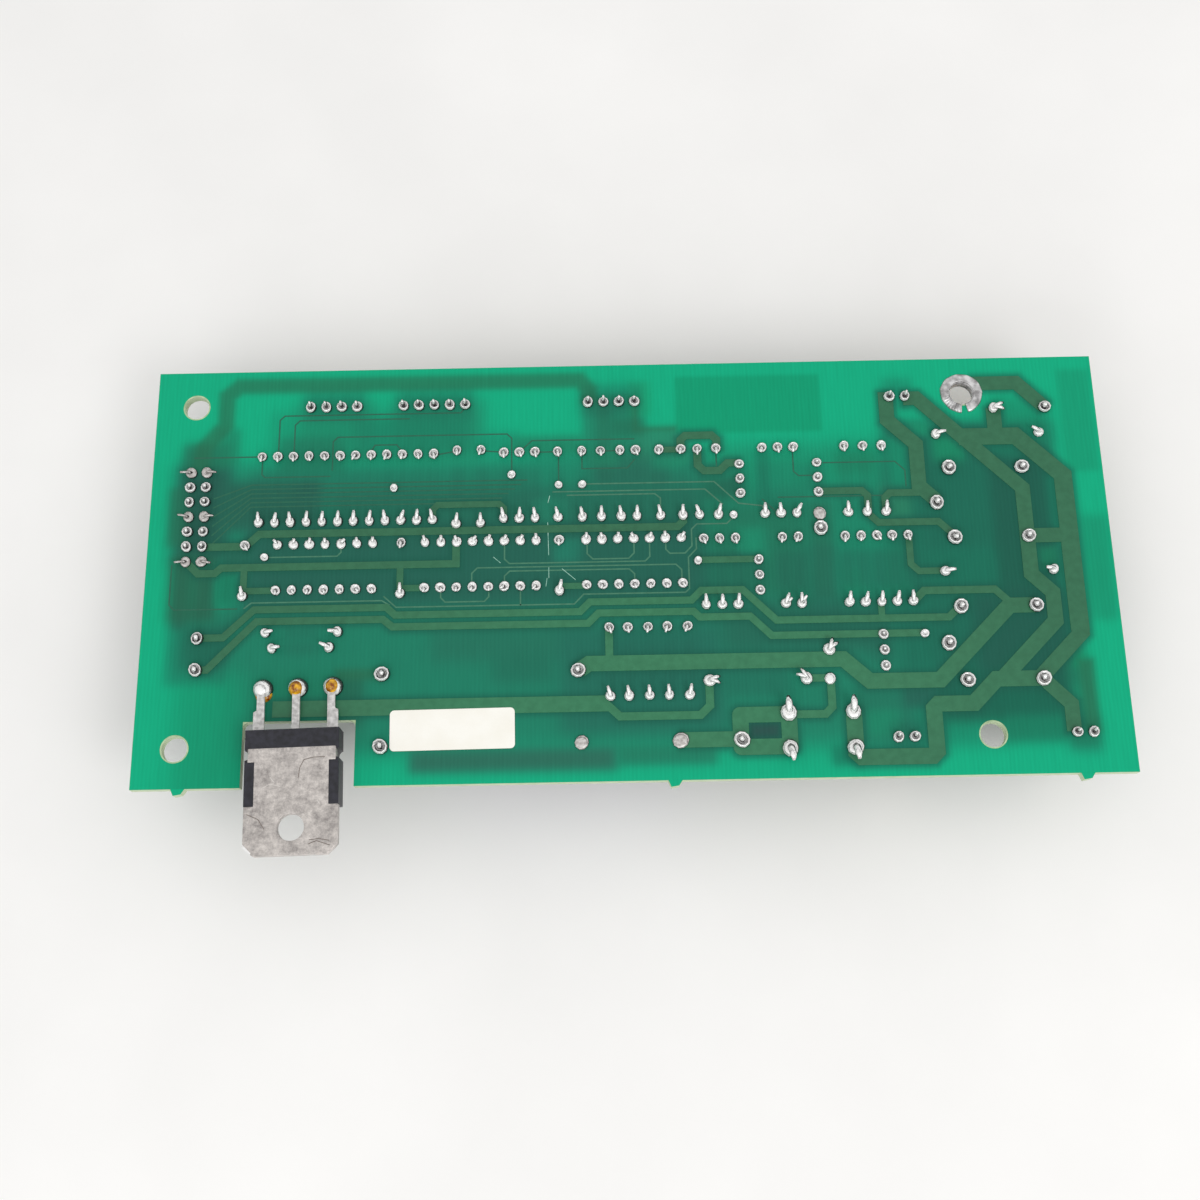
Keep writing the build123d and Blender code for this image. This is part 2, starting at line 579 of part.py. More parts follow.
lying_group("filter_capacitor", [filter_places], *filter_size, sides=None)
lying_group("sense_resistor", [sense_places], *sense_size, standoff=power_standoff, sides=None)

small_places = ((37.55, 18.3), (42.5, 18.3), (38.5, 11.85), (45.95, 6.85))
cases, legs = [], []
for place in small_places:
    case, trio = small_transistor(*place)
    cases.append(case)
    legs += trio
save("small_transistors", *cases)
save("small_transistor_legs", *legs)
can, can_legs = supply_can(3.55, 7.36)
film, film_legs = film_capacitor(54.1, 23.85)
save("supply_capacitor", can)
save("film_capacitor", film)
save("capacitor_legs", *can_legs, *film_legs)
save("blade_terminals", blade_terminal(39.85, 1.83), blade_terminal(43.78, 1.83))

# every lead's solder joint, by how its lead stands
chip_places = [(column + k, row + side) for column, row, count, length in chips.values()
               for k in range(count // 2) for side in (0, ic_row_span)]
small_legs = [(c, r + k) for c, r in small_places for k in range(3)]
clinched = resistor_row + diode_row + logic_row + driver_row + bypass_row + gate_pair
save("chip_joints", *[joint(*place, *chip_joint) for place in chip_places])
save("header_joints", *[joint(*place, *pin_joint) for place in ribbon_places + header_places + pair_places],
     *[joint(*place, *leg_joint) for place in small_legs])
bent = []
for first, second in clinched + relay_diode_pair:
    (ax, ay), (bx, by) = at(*first), at(*second)
    span = hypot(bx - ax, by - ay) / clinch
    lean = ((bx - ax) / span, (by - ay) / span)
    bent.append(joint(*first, *clinched_joint, lean))
    bent.append(joint(*second, *clinched_joint, (-lean[0], -lean[1])))
save("clinched_joints", *bent)
power = [(place, 1.2) for pair in (power_diode_places, brake_places, filter_places, sense_places)
         for place in pair]
power += [(place, 1.15) for place in upper_relay + lower_relay]
power += [(place, 1.0) for place in ((3.55, 7.36), (3.55, 9.36), (54.1, 23.85), (57.4, 23.85))]
power += [((c, r), 1.3) for c in (39.85, 43.78) for r in (1.83, 4.03)]
save("power_joints", *[joint(*place, radius, power_height, sides=power_sides) for place, radius in power])
vias = [(7.45, 14.6), (15.5, 19.1), (23.0, 19.85), (26.0, 19.1), (27.5, 19.1), (37.05, 16.85),
        (34.7, 13.85), (48.5, 8.85)]
spare = [((27.25, 2.4), 1.1), ((33.25, 2.42), 1.3), ((42.5, 6.1), 1.0), ((42.5, 16.85), 1.05)]
save("filled_holes", *[joint(*place, radius, spare_height) for place, radius in spare],
     *[joint(*place, *via_joint) for place in vias])
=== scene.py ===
"""Cutter control board, solder side up: the looks of its laminate, copper, solder and components."""

import bpy
import numpy as np
from mathutils import Matrix, Vector


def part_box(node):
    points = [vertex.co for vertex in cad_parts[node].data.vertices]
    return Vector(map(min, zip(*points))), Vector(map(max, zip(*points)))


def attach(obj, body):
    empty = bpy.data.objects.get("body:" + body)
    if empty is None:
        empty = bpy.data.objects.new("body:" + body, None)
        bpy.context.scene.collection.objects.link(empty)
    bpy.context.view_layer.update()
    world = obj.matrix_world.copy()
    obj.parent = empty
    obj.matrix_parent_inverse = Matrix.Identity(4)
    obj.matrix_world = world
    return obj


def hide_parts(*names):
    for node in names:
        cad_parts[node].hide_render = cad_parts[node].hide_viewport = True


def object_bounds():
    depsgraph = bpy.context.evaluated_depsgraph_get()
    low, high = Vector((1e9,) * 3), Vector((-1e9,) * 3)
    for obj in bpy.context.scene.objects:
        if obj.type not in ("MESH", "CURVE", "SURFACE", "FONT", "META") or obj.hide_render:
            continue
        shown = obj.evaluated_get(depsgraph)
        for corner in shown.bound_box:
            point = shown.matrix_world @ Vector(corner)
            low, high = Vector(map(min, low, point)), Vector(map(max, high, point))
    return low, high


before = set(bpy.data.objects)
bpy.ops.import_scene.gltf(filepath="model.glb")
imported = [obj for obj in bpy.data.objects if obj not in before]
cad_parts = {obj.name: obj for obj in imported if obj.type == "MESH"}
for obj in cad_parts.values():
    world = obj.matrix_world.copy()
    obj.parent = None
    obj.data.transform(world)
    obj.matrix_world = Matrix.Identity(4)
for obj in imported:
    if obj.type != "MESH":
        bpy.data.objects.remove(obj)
cad_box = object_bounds()

# ---------------------------------------------------------------- laminate
# The panel is glass cloth set in epoxy, 1.6 mm thick, sawn and routed to its outline and drilled.
# Green lacquer covers its lower face; bare resin shows at the cut edges and in a thin line round
# each fixing hole.
mm = 0.001
grid = 2.54 * mm
origin_column, origin_row = 27.35, 13.7
resin_light, resin_dark = (196, 214, 172), (150, 178, 134)
edge_light, edge_dark = (206, 216, 188), (168, 188, 148)
lower_light, lower_dark = (24, 122, 86), (18, 100, 70)


def at(column, row):
    """A place on the drill grid, in metres: steps from the lower left corner less the origin's own."""
    return (column - origin_column) * grid, (row - origin_row) * grid


def tone(colour):
    """Display colour in steps of 255 to linear light, by the two branches of the display curve."""
    c = np.asarray(colour, float) / 255
    return np.where(c <= 0.04045, c / 12.92, ((c + 0.055) / 1.055) ** 2.4)


def joined(material, kind, operation=None, **inputs):
    """A new shader node, each input given a constant or joined to another node's output."""
    made = material.node_tree.nodes.new(kind)
    if operation:
        made.operation = operation
    for name, given in inputs.items():
        socket = made.inputs[name.replace("_", " ")]
        if isinstance(given, bpy.types.NodeSocket):
            material.node_tree.links.new(given, socket)
        else:
            socket.default_value = given
    return made


def finish(name, dark, light, grain, roughness, metallic=0.0, bump=None):
    """A surface whose colour wanders between two tones by noise, with an optional fine unevenness.

    Grain is the size of the patches; bump is the height and patch size of the unevenness, all in
    millimetres.
    """
    made = bpy.data.materials.new(name)
    made.use_nodes = True
    shader, links = made.node_tree.nodes["Principled BSDF"], made.node_tree.links
    shader.inputs["Roughness"].default_value = roughness
    shader.inputs["Metallic"].default_value = metallic
    place = joined(made, "ShaderNodeTexCoord").outputs["Object"]
    noise = joined(made, "ShaderNodeTexNoise", Vector=place, Scale=1 / (grain * mm), Detail=5)
    ramp = joined(made, "ShaderNodeValToRGB", Fac=noise.outputs["Fac"])
    for stop, share, colour in zip(ramp.color_ramp.elements, (0.35, 0.65), (dark, light)):
        stop.position, stop.color = share, (*tone(colour), 1)
    links.new(ramp.outputs["Color"], shader.inputs["Base Color"])
    if bump:
        rough = joined(made, "ShaderNodeTexNoise", Vector=place, Scale=1 / (bump[1] * mm), Detail=4)
        lift = joined(made, "ShaderNodeBump", Height=rough.outputs["Fac"], Distance=bump[0] * mm)
        links.new(lift.outputs["Normal"], shader.inputs["Normal"])
    return made


def dress(node, material):
    """Give a CAD node its finish."""
    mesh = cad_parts[node].data
    mesh.materials.clear()
    mesh.materials.append(material)


laminate = finish("glass_epoxy", resin_dark, resin_light, 1.5, 0.55)
nodes, links = laminate.node_tree.nodes, laminate.node_tree.links
facing = joined(laminate, "ShaderNodeNewGeometry")
height = joined(laminate, "ShaderNodeSeparateXYZ", Vector=facing.outputs["Normal"])
resin = nodes["Principled BSDF"].inputs["Base Color"].links[0].from_socket
patches = nodes["Noise Texture"].outputs["Fac"]
# the upward share of the normal below which a face is a cut edge, and below which it is the lower face
for low, high, dark, light in ((0.5, 0.6, edge_dark, edge_light), (-0.6, -0.5, lower_dark, lower_light)):
    tint = joined(laminate, "ShaderNodeValToRGB", Fac=patches)
    for stop, colour in zip(tint.color_ramp.elements, (dark, light)):
        stop.color = (*tone(colour), 1)
    step = joined(laminate, "ShaderNodeMapRange", Value=height.outputs["Z"], From_Min=low, From_Max=high)
    choice = nodes.new("ShaderNodeMix")
    choice.data_type = "RGBA"
    for number, output in ((0, step.outputs["Result"]), (6, tint.outputs["Color"]), (7, resin)):
        links.new(output, choice.inputs[number])
    resin = choice.outputs[2]
links.new(resin, nodes["Principled BSDF"].inputs["Base Color"])
dress("circuit_board", laminate)

# ---------------------------------------------------------------- solder mask
# Green lacquer over the solder side, silk-screened and cured.  Its tint holds painted light and shade:
# darker where connectors, relays, chips and the component side's copper stand under the translucent panel
# and block the light through it, lighter where more comes through, and a painted shadow along each track.
film_height, film_step, film_inset = 0.012 * mm, 0.38 * mm, 0.015 * mm
hole_rim = 2.22 * mm
bright_green = (18, 170, 126)
copper_shade, track_edge_shadow = (42, 108, 79), (28, 90, 74)
band_blur, band_strength, track_edge_shadow_blur, track_edge_shadow_strength = 0.5 * mm, 0.68, 0.7 * mm, 0.55
weave_pitch, weave_depth = 0.62 * mm, 0.025
pitch_at_scale_one = 0.314      # the wave pattern's own pitch, in metres
fibre_width, fibre_length, fibre_depth = 0.45 * mm, 6 * mm, 0.08
# soft boxes of painted light and shade in the lacquer's tint: darker where bodies and copper under the panel
# block the light through it, lighter where more comes through
# each row: first and last column, first and last row, blur in grid steps, shade, strength
shades = [
    (5.2, 49.0, 1.9, 20.9, 0.9, (32, 124, 98), 1.0),
    (35.5, 48.5, 18.4, 21.4, 0.8, (24, 146, 109), 0.9),
    (24.6, 29.4, 17.2, 21.6, 0.5, (28, 136, 105), 0.7),
    (9.2, 14.2, 21.0, 25.2, 0.6, (32, 134, 102), 0.8),
    (15.2, 21.2, 21.0, 25.2, 0.6, (32, 134, 102), 0.8),
    (27.6, 31.4, 20.6, 25.3, 0.35, (34, 124, 97), 0.85),
    (28.5, 29.4, 19.2, 24.6, 0.25, (36, 110, 86), 0.6),
    (31.0, 34.4, 20.6, 22.9, 0.3, (44, 128, 100), 0.8),
    (28.0, 33.2, 18.8, 21.0, 0.5, (40, 104, 86), 0.75),
    (33.6, 43.0, 22.5, 26.5, 0.12, (16, 152, 110), 0.9),
    (38.6, 39.5, 17.0, 21.2, 0.2, (26, 118, 92), 0.6),
    (1.6, 5.2, 14.2, 21.0, 0.55, (38, 92, 79), 1.0),
    (1.9, 2.7, 10.0, 14.8, 0.3, (38, 106, 84), 0.8),
    (3.3, 4.3, 10.8, 14.4, 0.25, (38, 100, 82), 0.8),
    (2.0, 6.2, 10.2, 11.4, 0.4, (36, 106, 86), 0.6),
    (2.4, 5.6, 7.2, 10.4, 0.6, (34, 96, 78), 0.8),
    (4.4, 10.9, 16.4, 19.7, 0.45, (38, 98, 82), 1.0),
    (9.2, 10.6, 18.6, 19.5, 0.3, (36, 90, 78), 0.7),
    (11.4, 35.0, 16.4, 19.0, 0.6, (36, 108, 88), 0.95),
    (6.2, 35.2, 11.1, 16.8, 0.45, (38, 99, 84), 1.0),
    (1.5, 4.5, 10.4, 14.8, 0.4, (40, 99, 77), 0.85),
    (4.5, 5.7, 11.5, 14.0, 0.35, (26, 118, 90), 0.9),
    (35.4, 42.0, 11.4, 17.4, 0.7, (33, 116, 90), 1.0),
    (42.0, 48.5, 11.4, 17.8, 0.7, (28, 132, 102), 0.9),
    (41.9, 43.2, 11.2, 17.6, 0.3, (38, 106, 84), 0.7),
    (7.0, 12.6, 3.9, 7.0, 0.7, (28, 120, 91), 0.7),
    (18.0, 26.6, 7.6, 9.8, 0.6, (38, 108, 88), 0.7),
    (16.8, 29.4, 0.7, 2.1, 0.35, (46, 104, 87), 0.95),
    (26.0, 36.0, 3.0, 9.8, 0.6, (36, 106, 89), 0.9),
    (36.0, 46.5, 7.8, 11.0, 0.6, (36, 102, 84), 0.9),
    (43.9, 48.6, 1.9, 5.4, 0.4, (34, 112, 90), 0.7),
    (46.8, 57.7, 5.6, 23.0, 0.5, (29, 107, 86), 0.95),
    (37.3, 39.4, 2.35, 3.5, 0.15, (44, 82, 76), 1.0),
    (47.5, 53.0, 1.8, 6.2, 0.6, (24, 128, 99), 0.8),
    (53.4, 57.0, 11.0, 20.2, 0.35, (31, 92, 76), 0.9),
    (51.6, 57.6, 5.0, 11.5, 0.5, (34, 88, 75), 0.85),
    (53.8, 57.6, 21.2, 24.6, 0.5, (24, 130, 98), 0.6),
    (56.8, 58.6, 1.6, 7.2, 0.3, (28, 122, 92), 0.7),
    (58.8, 60.6, 9.5, 16.4, 0.35, (22, 136, 102), 0.65),
    (58.4, 60.5, 19.4, 26.5, 0.2, (20, 146, 108), 0.65),
    (1.9, 4.9, 20.7, 22.4, 0.35, (36, 108, 84), 0.85),
    (1.2, 2.4, 15.4, 19.4, 0.3, (38, 110, 84), 0.75),
    (4.0, 5.5, 20.9, 23.4, 0.3, (30, 124, 94), 0.7),
    (4.8, 6.4, 13.9, 15.4, 0.3, (38, 96, 80), 0.8),
    (2.4, 6.6, -1.0, 7.0, 0.9, (20, 144, 106), 0.85),
    (7.4, 12.8, 21.4, 24.6, 0.5, (24, 138, 104), 0.5),
    (8.0, 12.2, 20.2, 22.7, 0.4, (32, 114, 89), 0.7),
    (12.8, 20.4, 21.4, 24.2, 0.6, (27, 122, 95), 0.75),
    (20.8, 23.4, 21.4, 22.8, 0.4, (24, 138, 106), 0.8),
    (23.0, 27.6, 21.3, 22.5, 0.3, (31, 128, 97), 0.85),
    (12.4, 13.9, 3.6, 7.0, 0.35, (36, 96, 76), 0.7),
    (21.8, 25.6, 6.2, 8.0, 0.5, (34, 106, 86), 0.7),
    (24.4, 26.5, 16.5, 18.3, 0.3, (37, 127, 101), 0.8),
    (25.6, 27.4, 13.9, 15.5, 0.3, (35, 124, 101), 0.85),
    (29.4, 35.4, 0.95, 2.2, 0.3, (34, 120, 94), 0.9),
    (28.0, 29.8, 20.3, 21.6, 0.3, (34, 129, 98), 0.8),
    (29.4, 31.6, 22.4, 23.6, 0.3, (34, 110, 85), 0.7),
    (30.6, 32.0, 23.8, 26.2, 0.25, (24, 156, 111), 0.7),
    (32.0, 34.2, 20.0, 21.3, 0.3, (31, 137, 104), 0.7),
    (35.2, 37.7, 18.0, 19.4, 0.35, (34, 100, 79), 0.85),
    (37.2, 39.0, 14.0, 16.0, 0.35, (29, 138, 105), 0.8),
    (43.6, 46.2, 19.6, 21.0, 0.4, (28, 124, 92), 0.7),
    (43.7, 45.0, 11.6, 13.2, 0.25, (27, 134, 101), 0.8),
    (46.4, 48.2, 11.6, 14.6, 0.3, (28, 127, 97), 0.8),
    (44.5, 46.6, 2.4, 4.1, 0.35, (29, 134, 101), 0.8),
    (42.3, 44.2, 0.7, 2.0, 0.3, (24, 120, 93), 0.85),
    (46.9, 49.9, 4.2, 6.0, 0.35, (38, 94, 81), 0.85),
    (46.4, 48.3, 16.4, 18.6, 0.3, (44, 128, 97), 0.8),
    (47.0, 48.4, 18.6, 22.0, 0.3, (25, 137, 104), 0.85),
    (48.4, 49.8, 22.0, 23.0, 0.25, (25, 140, 104), 0.85),
    (50.0, 52.0, 20.2, 22.0, 0.3, (26, 136, 99), 0.9),
    (52.6, 56.9, 1.9, 4.2, 0.4, (26, 114, 88), 0.85),
    (49.2, 53.0, 3.2, 4.4, 0.35, (28, 104, 82), 0.85),
    (49.0, 56.9, 3.6, 6.3, 0.35, (27, 98, 79), 0.95),
    (55.8, 57.2, 12.9, 14.4, 0.25, (29, 121, 90), 0.85),
    (57.4, 58.3, 6.5, 7.8, 0.25, (22, 136, 97), 0.7),
]
# painted shadows of the bodies under the panel, where they block the light through it, and how strongly
shadow_shade, shadow_blur = (34, 92, 78), 0.35
shadows = {
    "resistors": 0.22, "logic_resistors": 0.5, "driver_resistors": 0.4, "signal_diodes": 0.3,
    "left_chip_case": 0.25, "middle_chip_case": 0.25, "right_chip_case": 0.25, "upper_relay": 0.25,
    "lower_relay": 0.3, "supply_capacitor": 0.4, "small_transistors": 0.35, "power_diode": 0.35,
    "sense_resistor": 0.3, "two_pin_housings": 0.3, "sensor_header_housing": 0.3,
    "panel_header_housing": 0.3, "motor_header_housing": 0.3, "gate_resistors": 0.35,
}


def stations(*keys):
    """Even steps of about one film step between key places, each key kept."""
    runs = [np.linspace(a, b, int((b - a) / film_step) + 1, endpoint=False) for a, b in zip(keys, keys[1:])]
    return np.append(np.concatenate(runs), keys[-1])


def triangles_of(node):
    """Points of a CAD node's mesh, and the three point numbers of each of its triangles."""
    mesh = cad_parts[node].data
    points = np.empty(len(mesh.vertices) * 3)
    mesh.vertices.foreach_get("co", points)
    corners = np.empty(len(mesh.loops), int)
    mesh.loops.foreach_get("vertex_index", corners)
    return points.reshape(-1, 3), corners.reshape(-1, 3)


def outline(node):
    """Ends of the upper wall edges of a CAD node: the two top corners of each upright triangle."""
    points, corners = triangles_of(node)
    triangles = points[corners]
    normals = np.cross(triangles[:, 1] - triangles[:, 0], triangles[:, 2] - triangles[:, 0])
    upright = np.abs(normals[:, 2]) < 0.1 * np.linalg.norm(normals, axis=1)
    high = triangles[:, :, 2] > points[:, 2].max() - 0.01 * mm
    chosen = upright & (high.sum(1) == 2)
    return triangles[chosen][high[chosen]].reshape(-1, 2, 3)[:, :, :2]


def solids(node):
    """Corner points of each separate solid of a CAD node.

    Points joined by a triangle take the least label among them, again and again, until every
    solid carries one label.
    """
    points, corners = triangles_of(node)
    spots, same = np.unique(points.round(7), axis=0, return_inverse=True)
    triangles = same.ravel()[corners]
    label, settled = np.arange(len(spots)), False
    while not settled:
        lower = label.copy()
        np.minimum.at(lower, triangles, label[triangles].min(1, keepdims=True))
        settled = (lower == label).all()
        label = lower
    return [spots[label == k] for k in np.unique(label)]


def depth_in(outlines, x, y):
    """Signed distance to closed outlines: to the nearest edge, negative inside by the even-odd rule."""
    nearest, inside = np.full(x.shape, 1.0), np.zeros(x.shape, bool)
    for (ax, ay), (bx, by) in outlines:
        dx, dy = bx - ax, by - ay
        along = np.clip(((x - ax) * dx + (y - ay) * dy) / (dx * dx + dy * dy), 0, 1)
        nearest = np.minimum(nearest, np.hypot(ax + along * dx - x, ay + along * dy - y))
        if dy:
            inside ^= ((ay > y) != (by > y)) & (x < dx * (y - ay) / dy + ax)
    return np.where(inside, -nearest, nearest)


def veil(x, y, left, right, low, high, blur):
    """How far a place lies inside a box with blurred sides: a product of four S-curves."""
    (x0, y0), (x1, y1) = at(left, low), at(right, high)
    soft = blur * grid
    across = (1 + np.tanh((x - x0) / soft)) * (1 + np.tanh((x1 - x) / soft))
    return across * (1 + np.tanh((y - y0) / soft)) * (1 + np.tanh((y1 - y) / soft)) / 16


def placed(name, data):
    """A new object in the scene, at the origin."""
    made = bpy.data.objects.new(name, data)
    bpy.context.scene.collection.objects.link(made)
    return made


low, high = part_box("circuit_board")
nib_reach, notch_depth_rows = 1.0 * mm, 4.05
notch_left, notch_top = at(6.65, notch_depth_rows)
notch_right = at(13.5, notch_depth_rows)[0]
x_steps = stations(low.x + film_inset, notch_left - film_inset, notch_right + film_inset,
                   high.x - film_inset)
y_steps = stations(low.y + nib_reach + film_inset, notch_top + film_inset, high.y - film_inset)
x, y = np.meshgrid(x_steps, y_steps)
held = np.zeros(x.shape, bool)
for column in (2.55, 52.15):
    for row in (2.45, 24.95):
        hx, hy = at(column, row)
        away = np.maximum(np.hypot(x - hx, y - hy), 1e-9)
        held |= away < hole_rim
        push = np.maximum(1, hole_rim / away)
        x, y = hx + (x - hx) * push, hy + (y - hy) * push
shade = np.broadcast_to(np.array(bright_green, float), (*x.shape, 3))
for left, right, bottom, top, blur, colour, strength in shades:
    share = (strength * veil(x, y, left, right, bottom, top, blur))[..., None]
    shade = shade + (np.array(colour) - shade) * share
# each body under the panel darkens the tint with its painted shadow
for node, strength in shadows.items():
    for body in solids(node):
        (left, bottom), (right, top) = body.min(0)[:2] / grid, body.max(0)[:2] / grid
        share = strength * veil(x, y, left + origin_column, right + origin_column, bottom + origin_row,
                                top + origin_row, shadow_blur)[..., None]
        shade = shade + (np.array(shadow_shade) - shade) * share
# the component side's copper seen through the panel: partly its own olive colour, partly painted shadow where
# it blocks the light through the panel
hidden_copper = depth_in(outline("component_side_tracks"), x, y)
share = band_strength * (0.5 - 0.5 * np.tanh(hidden_copper / band_blur))[..., None]
shade = shade + (np.array(copper_shade) - shade) * share
# painted shadow along the edges of the solder side's tracks, fading away from them
near_copper = depth_in(outline("solder_side_tracks"), x, y)
share = track_edge_shadow_strength * np.exp(-((np.maximum(near_copper, 0) / track_edge_shadow_blur) ** 2))[..., None]
shade = shade + (np.array(track_edge_shadow) - shade) * share

rows, columns = x.shape
number = np.arange(rows * columns).reshape(rows, columns)
cells = np.stack([number[:-1, :-1], number[:-1, 1:], number[1:, 1:], number[1:, :-1]], -1)
mid_x, mid_y = (x_steps[:-1] + x_steps[1:]) / 2, (y_steps[:-1] + y_steps[1:]) / 2
in_notch = (mid_x > notch_left) & (mid_x < notch_right) & (mid_y < notch_top)[:, None]
in_hole = held[:-1, :-1] & held[:-1, 1:] & held[1:, 1:] & held[1:, :-1]
cells = cells[~in_notch & ~in_hole]
nib_plan = np.array([(-0.64, -1.0), (0.53, -0.8), (1.08, 0.02), (-1.08, 0.02)]) * mm
nibs = np.array([(at(column, 0)[0], low.y + nib_reach) + nib_plan for column in (2.9, 32.85, 57.6)])
nib_corners = nibs.reshape(-1, 2)
spots = np.concatenate([np.stack([x, y], -1).reshape(-1, 2), nib_corners])
faces = cells.tolist() + (rows * columns + np.arange(len(nib_corners)).reshape(-1, 4)).tolist()
shade = np.concatenate([shade.reshape(-1, 3), np.broadcast_to(bright_green, (len(nib_corners), 3))])
film_mesh = bpy.data.meshes.new("solder_mask_film")
film_mesh.from_pydata(np.column_stack([spots, np.full(len(spots), film_height)]).tolist(), [], faces)
tint = film_mesh.color_attributes.new("mask_tint_and_shade", "FLOAT_COLOR", "POINT")
tint.data.foreach_set("color", np.column_stack([tone(shade), np.ones(len(spots))]).ravel())
film = placed("solder_mask_film", film_mesh)


def lacquer(name, roughness, gloss):
    """Glossy green over glass cloth: the piece's tint with its painted light and shade, crossed by fine
    threads and long fibres.
    """
    made = bpy.data.materials.new(name)
    made.use_nodes = True
    shader = made.node_tree.nodes["Principled BSDF"]
    shader.inputs["Roughness"].default_value = roughness
    shader.inputs["Specular IOR Level"].default_value = gloss
    place = joined(made, "ShaderNodeTexCoord").outputs["Object"]
    tint = joined(made, "ShaderNodeAttribute")
    tint.attribute_name = "mask_tint_and_shade"
    threads = joined(made, "ShaderNodeTexWave", Vector=place, Scale=pitch_at_scale_one / weave_pitch,
                     Distortion=1.5, Detail=3, Detail_Scale=0.4)
    stretch = joined(made, "ShaderNodeMapping", Vector=place,
                     Scale=(1 / fibre_width, 1 / fibre_length, 1 / fibre_length))
    fibres = joined(made, "ShaderNodeTexNoise", Vector=stretch.outputs["Vector"], Scale=1)
    colour = tint.outputs["Color"]
    for pattern, strength in ((threads, weave_depth), (fibres, fibre_depth)):
        level = joined(made, "ShaderNodeMapRange", Value=pattern.outputs["Fac"], To_Min=1 - strength,
                       To_Max=1 + strength)
        product = joined(made, "ShaderNodeVectorMath", "SCALE", Vector=colour, Scale=level.outputs["Result"])
        colour = product.outputs["Vector"]
    made.node_tree.links.new(colour, shader.inputs["Base Color"])
    return made


film_mesh.materials.append(lacquer("green_lacquer", 0.45, 0.08))
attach(film, "root")

# ---------------------------------------------------------------- copper tracks
# Etched foil, thicker where it carries motor current, under the same lacquer: it shows as olive
# bands with crisp edges, made paler over the lower middle by a painted pool of light.  Fine signal
# tracks are a quarter of a millimetre wide.
track_dark, track_light = (32, 102, 68), (40, 110, 75)
# painted light: a pool about this place that paints the tracks' colour paler toward its middle
painted_light_at, painted_light_reach = at(32, 6), (27 * grid, 10 * grid)
painted_light_core, painted_light_tones = 0.6, (0.95, 1.25)
foil = finish("lacquered_copper", track_dark, track_light, 1.2, 0.45, bump=(0.01, 0.5))
nodes = foil.node_tree.nodes
base_colour = nodes["Principled BSDF"].inputs["Base Color"]
painted_light_scale = (1 / painted_light_reach[0], 1 / painted_light_reach[1], 1)
around = joined(foil, "ShaderNodeMapping", Vector=nodes["Texture Coordinate"].outputs["Object"],
                Location=(-painted_light_at[0] * painted_light_scale[0], -painted_light_at[1] * painted_light_scale[1], 0), Scale=painted_light_scale)
painted_light_pool = joined(foil, "ShaderNodeTexGradient", Vector=around.outputs["Vector"])
painted_light_pool.gradient_type = "SPHERICAL"
level = joined(foil, "ShaderNodeMapRange", Value=painted_light_pool.outputs["Fac"], From_Max=painted_light_core,
               To_Min=painted_light_tones[0], To_Max=painted_light_tones[1])
lighter = joined(foil, "ShaderNodeVectorMath", "SCALE", Vector=base_colour.links[0].from_socket,
                 Scale=level.outputs["Result"])
foil.node_tree.links.new(lighter.outputs["Vector"], base_colour)
dress("solder_side_tracks", foil)
dress("component_side_tracks", finish("lacquered_copper_below", (30, 104, 72), (36, 112, 80), 2, 0.4))
fine_width, fine_low, fine_high = 0.23 * mm, 0.0, 0.03 * mm
fine_routes = [
    [(20.5, 12.4), (20.5, 13.3), (20.85, 13.65), (33.3, 13.65), (33.65, 13.3), (33.65, 12.4)],
    [(22.55, 12.4), (22.55, 13.08), (22.88, 13.4), (30.37, 13.4), (30.7, 13.07), (30.7, 12.4)],
    [(18.57, 12.3), (18.57, 11.75), (18.85, 11.45), (21.3, 11.45), (21.57, 11.75), (21.57, 12.3)],
    [(15.0, 11.9), (15.8, 11.17), (26.9, 11.17), (27.5, 11.8), (33.85, 11.8), (34.1, 12.05), (34.1, 14.1),
     (34.62, 14.65), (34.62, 15.4)],
    [(23.55, 12.3), (23.55, 11.15)],
    [(22.55, 15.4), (22.55, 14.2), (22.85, 13.9), (31.38, 13.9), (31.68, 14.2), (31.68, 15.3)],
    [(27.75, 15.35), (27.75, 14.45), (28.1, 14.1), (30.35, 14.1), (30.7, 14.45), (30.7, 15.35)],
    [(32.7, 15.3), (32.7, 14.65), (32.95, 14.38), (33.9, 14.38), (34.35, 14.85), (34.35, 15.95),
     (34.7, 16.3), (36.6, 16.3), (37.05, 16.75)],
    [(27.5, 19.15), (35.9, 19.15), (37.4, 17.65), (38.9, 17.45), (39.0, 17.0)],
    [(25.6, 18.65), (35.3, 18.65), (36.4, 17.6)],
    [(26.5, 18.4), (32.1, 18.4), (32.45, 18.1), (32.45, 17.3)],
    [(7.3, 14.6), (12.0, 14.6), (12.25, 14.85), (12.25, 15.3)],
    [(6.3, 11.25), (6.75, 11.62), (14.9, 11.62), (15.4, 11.3)],
]
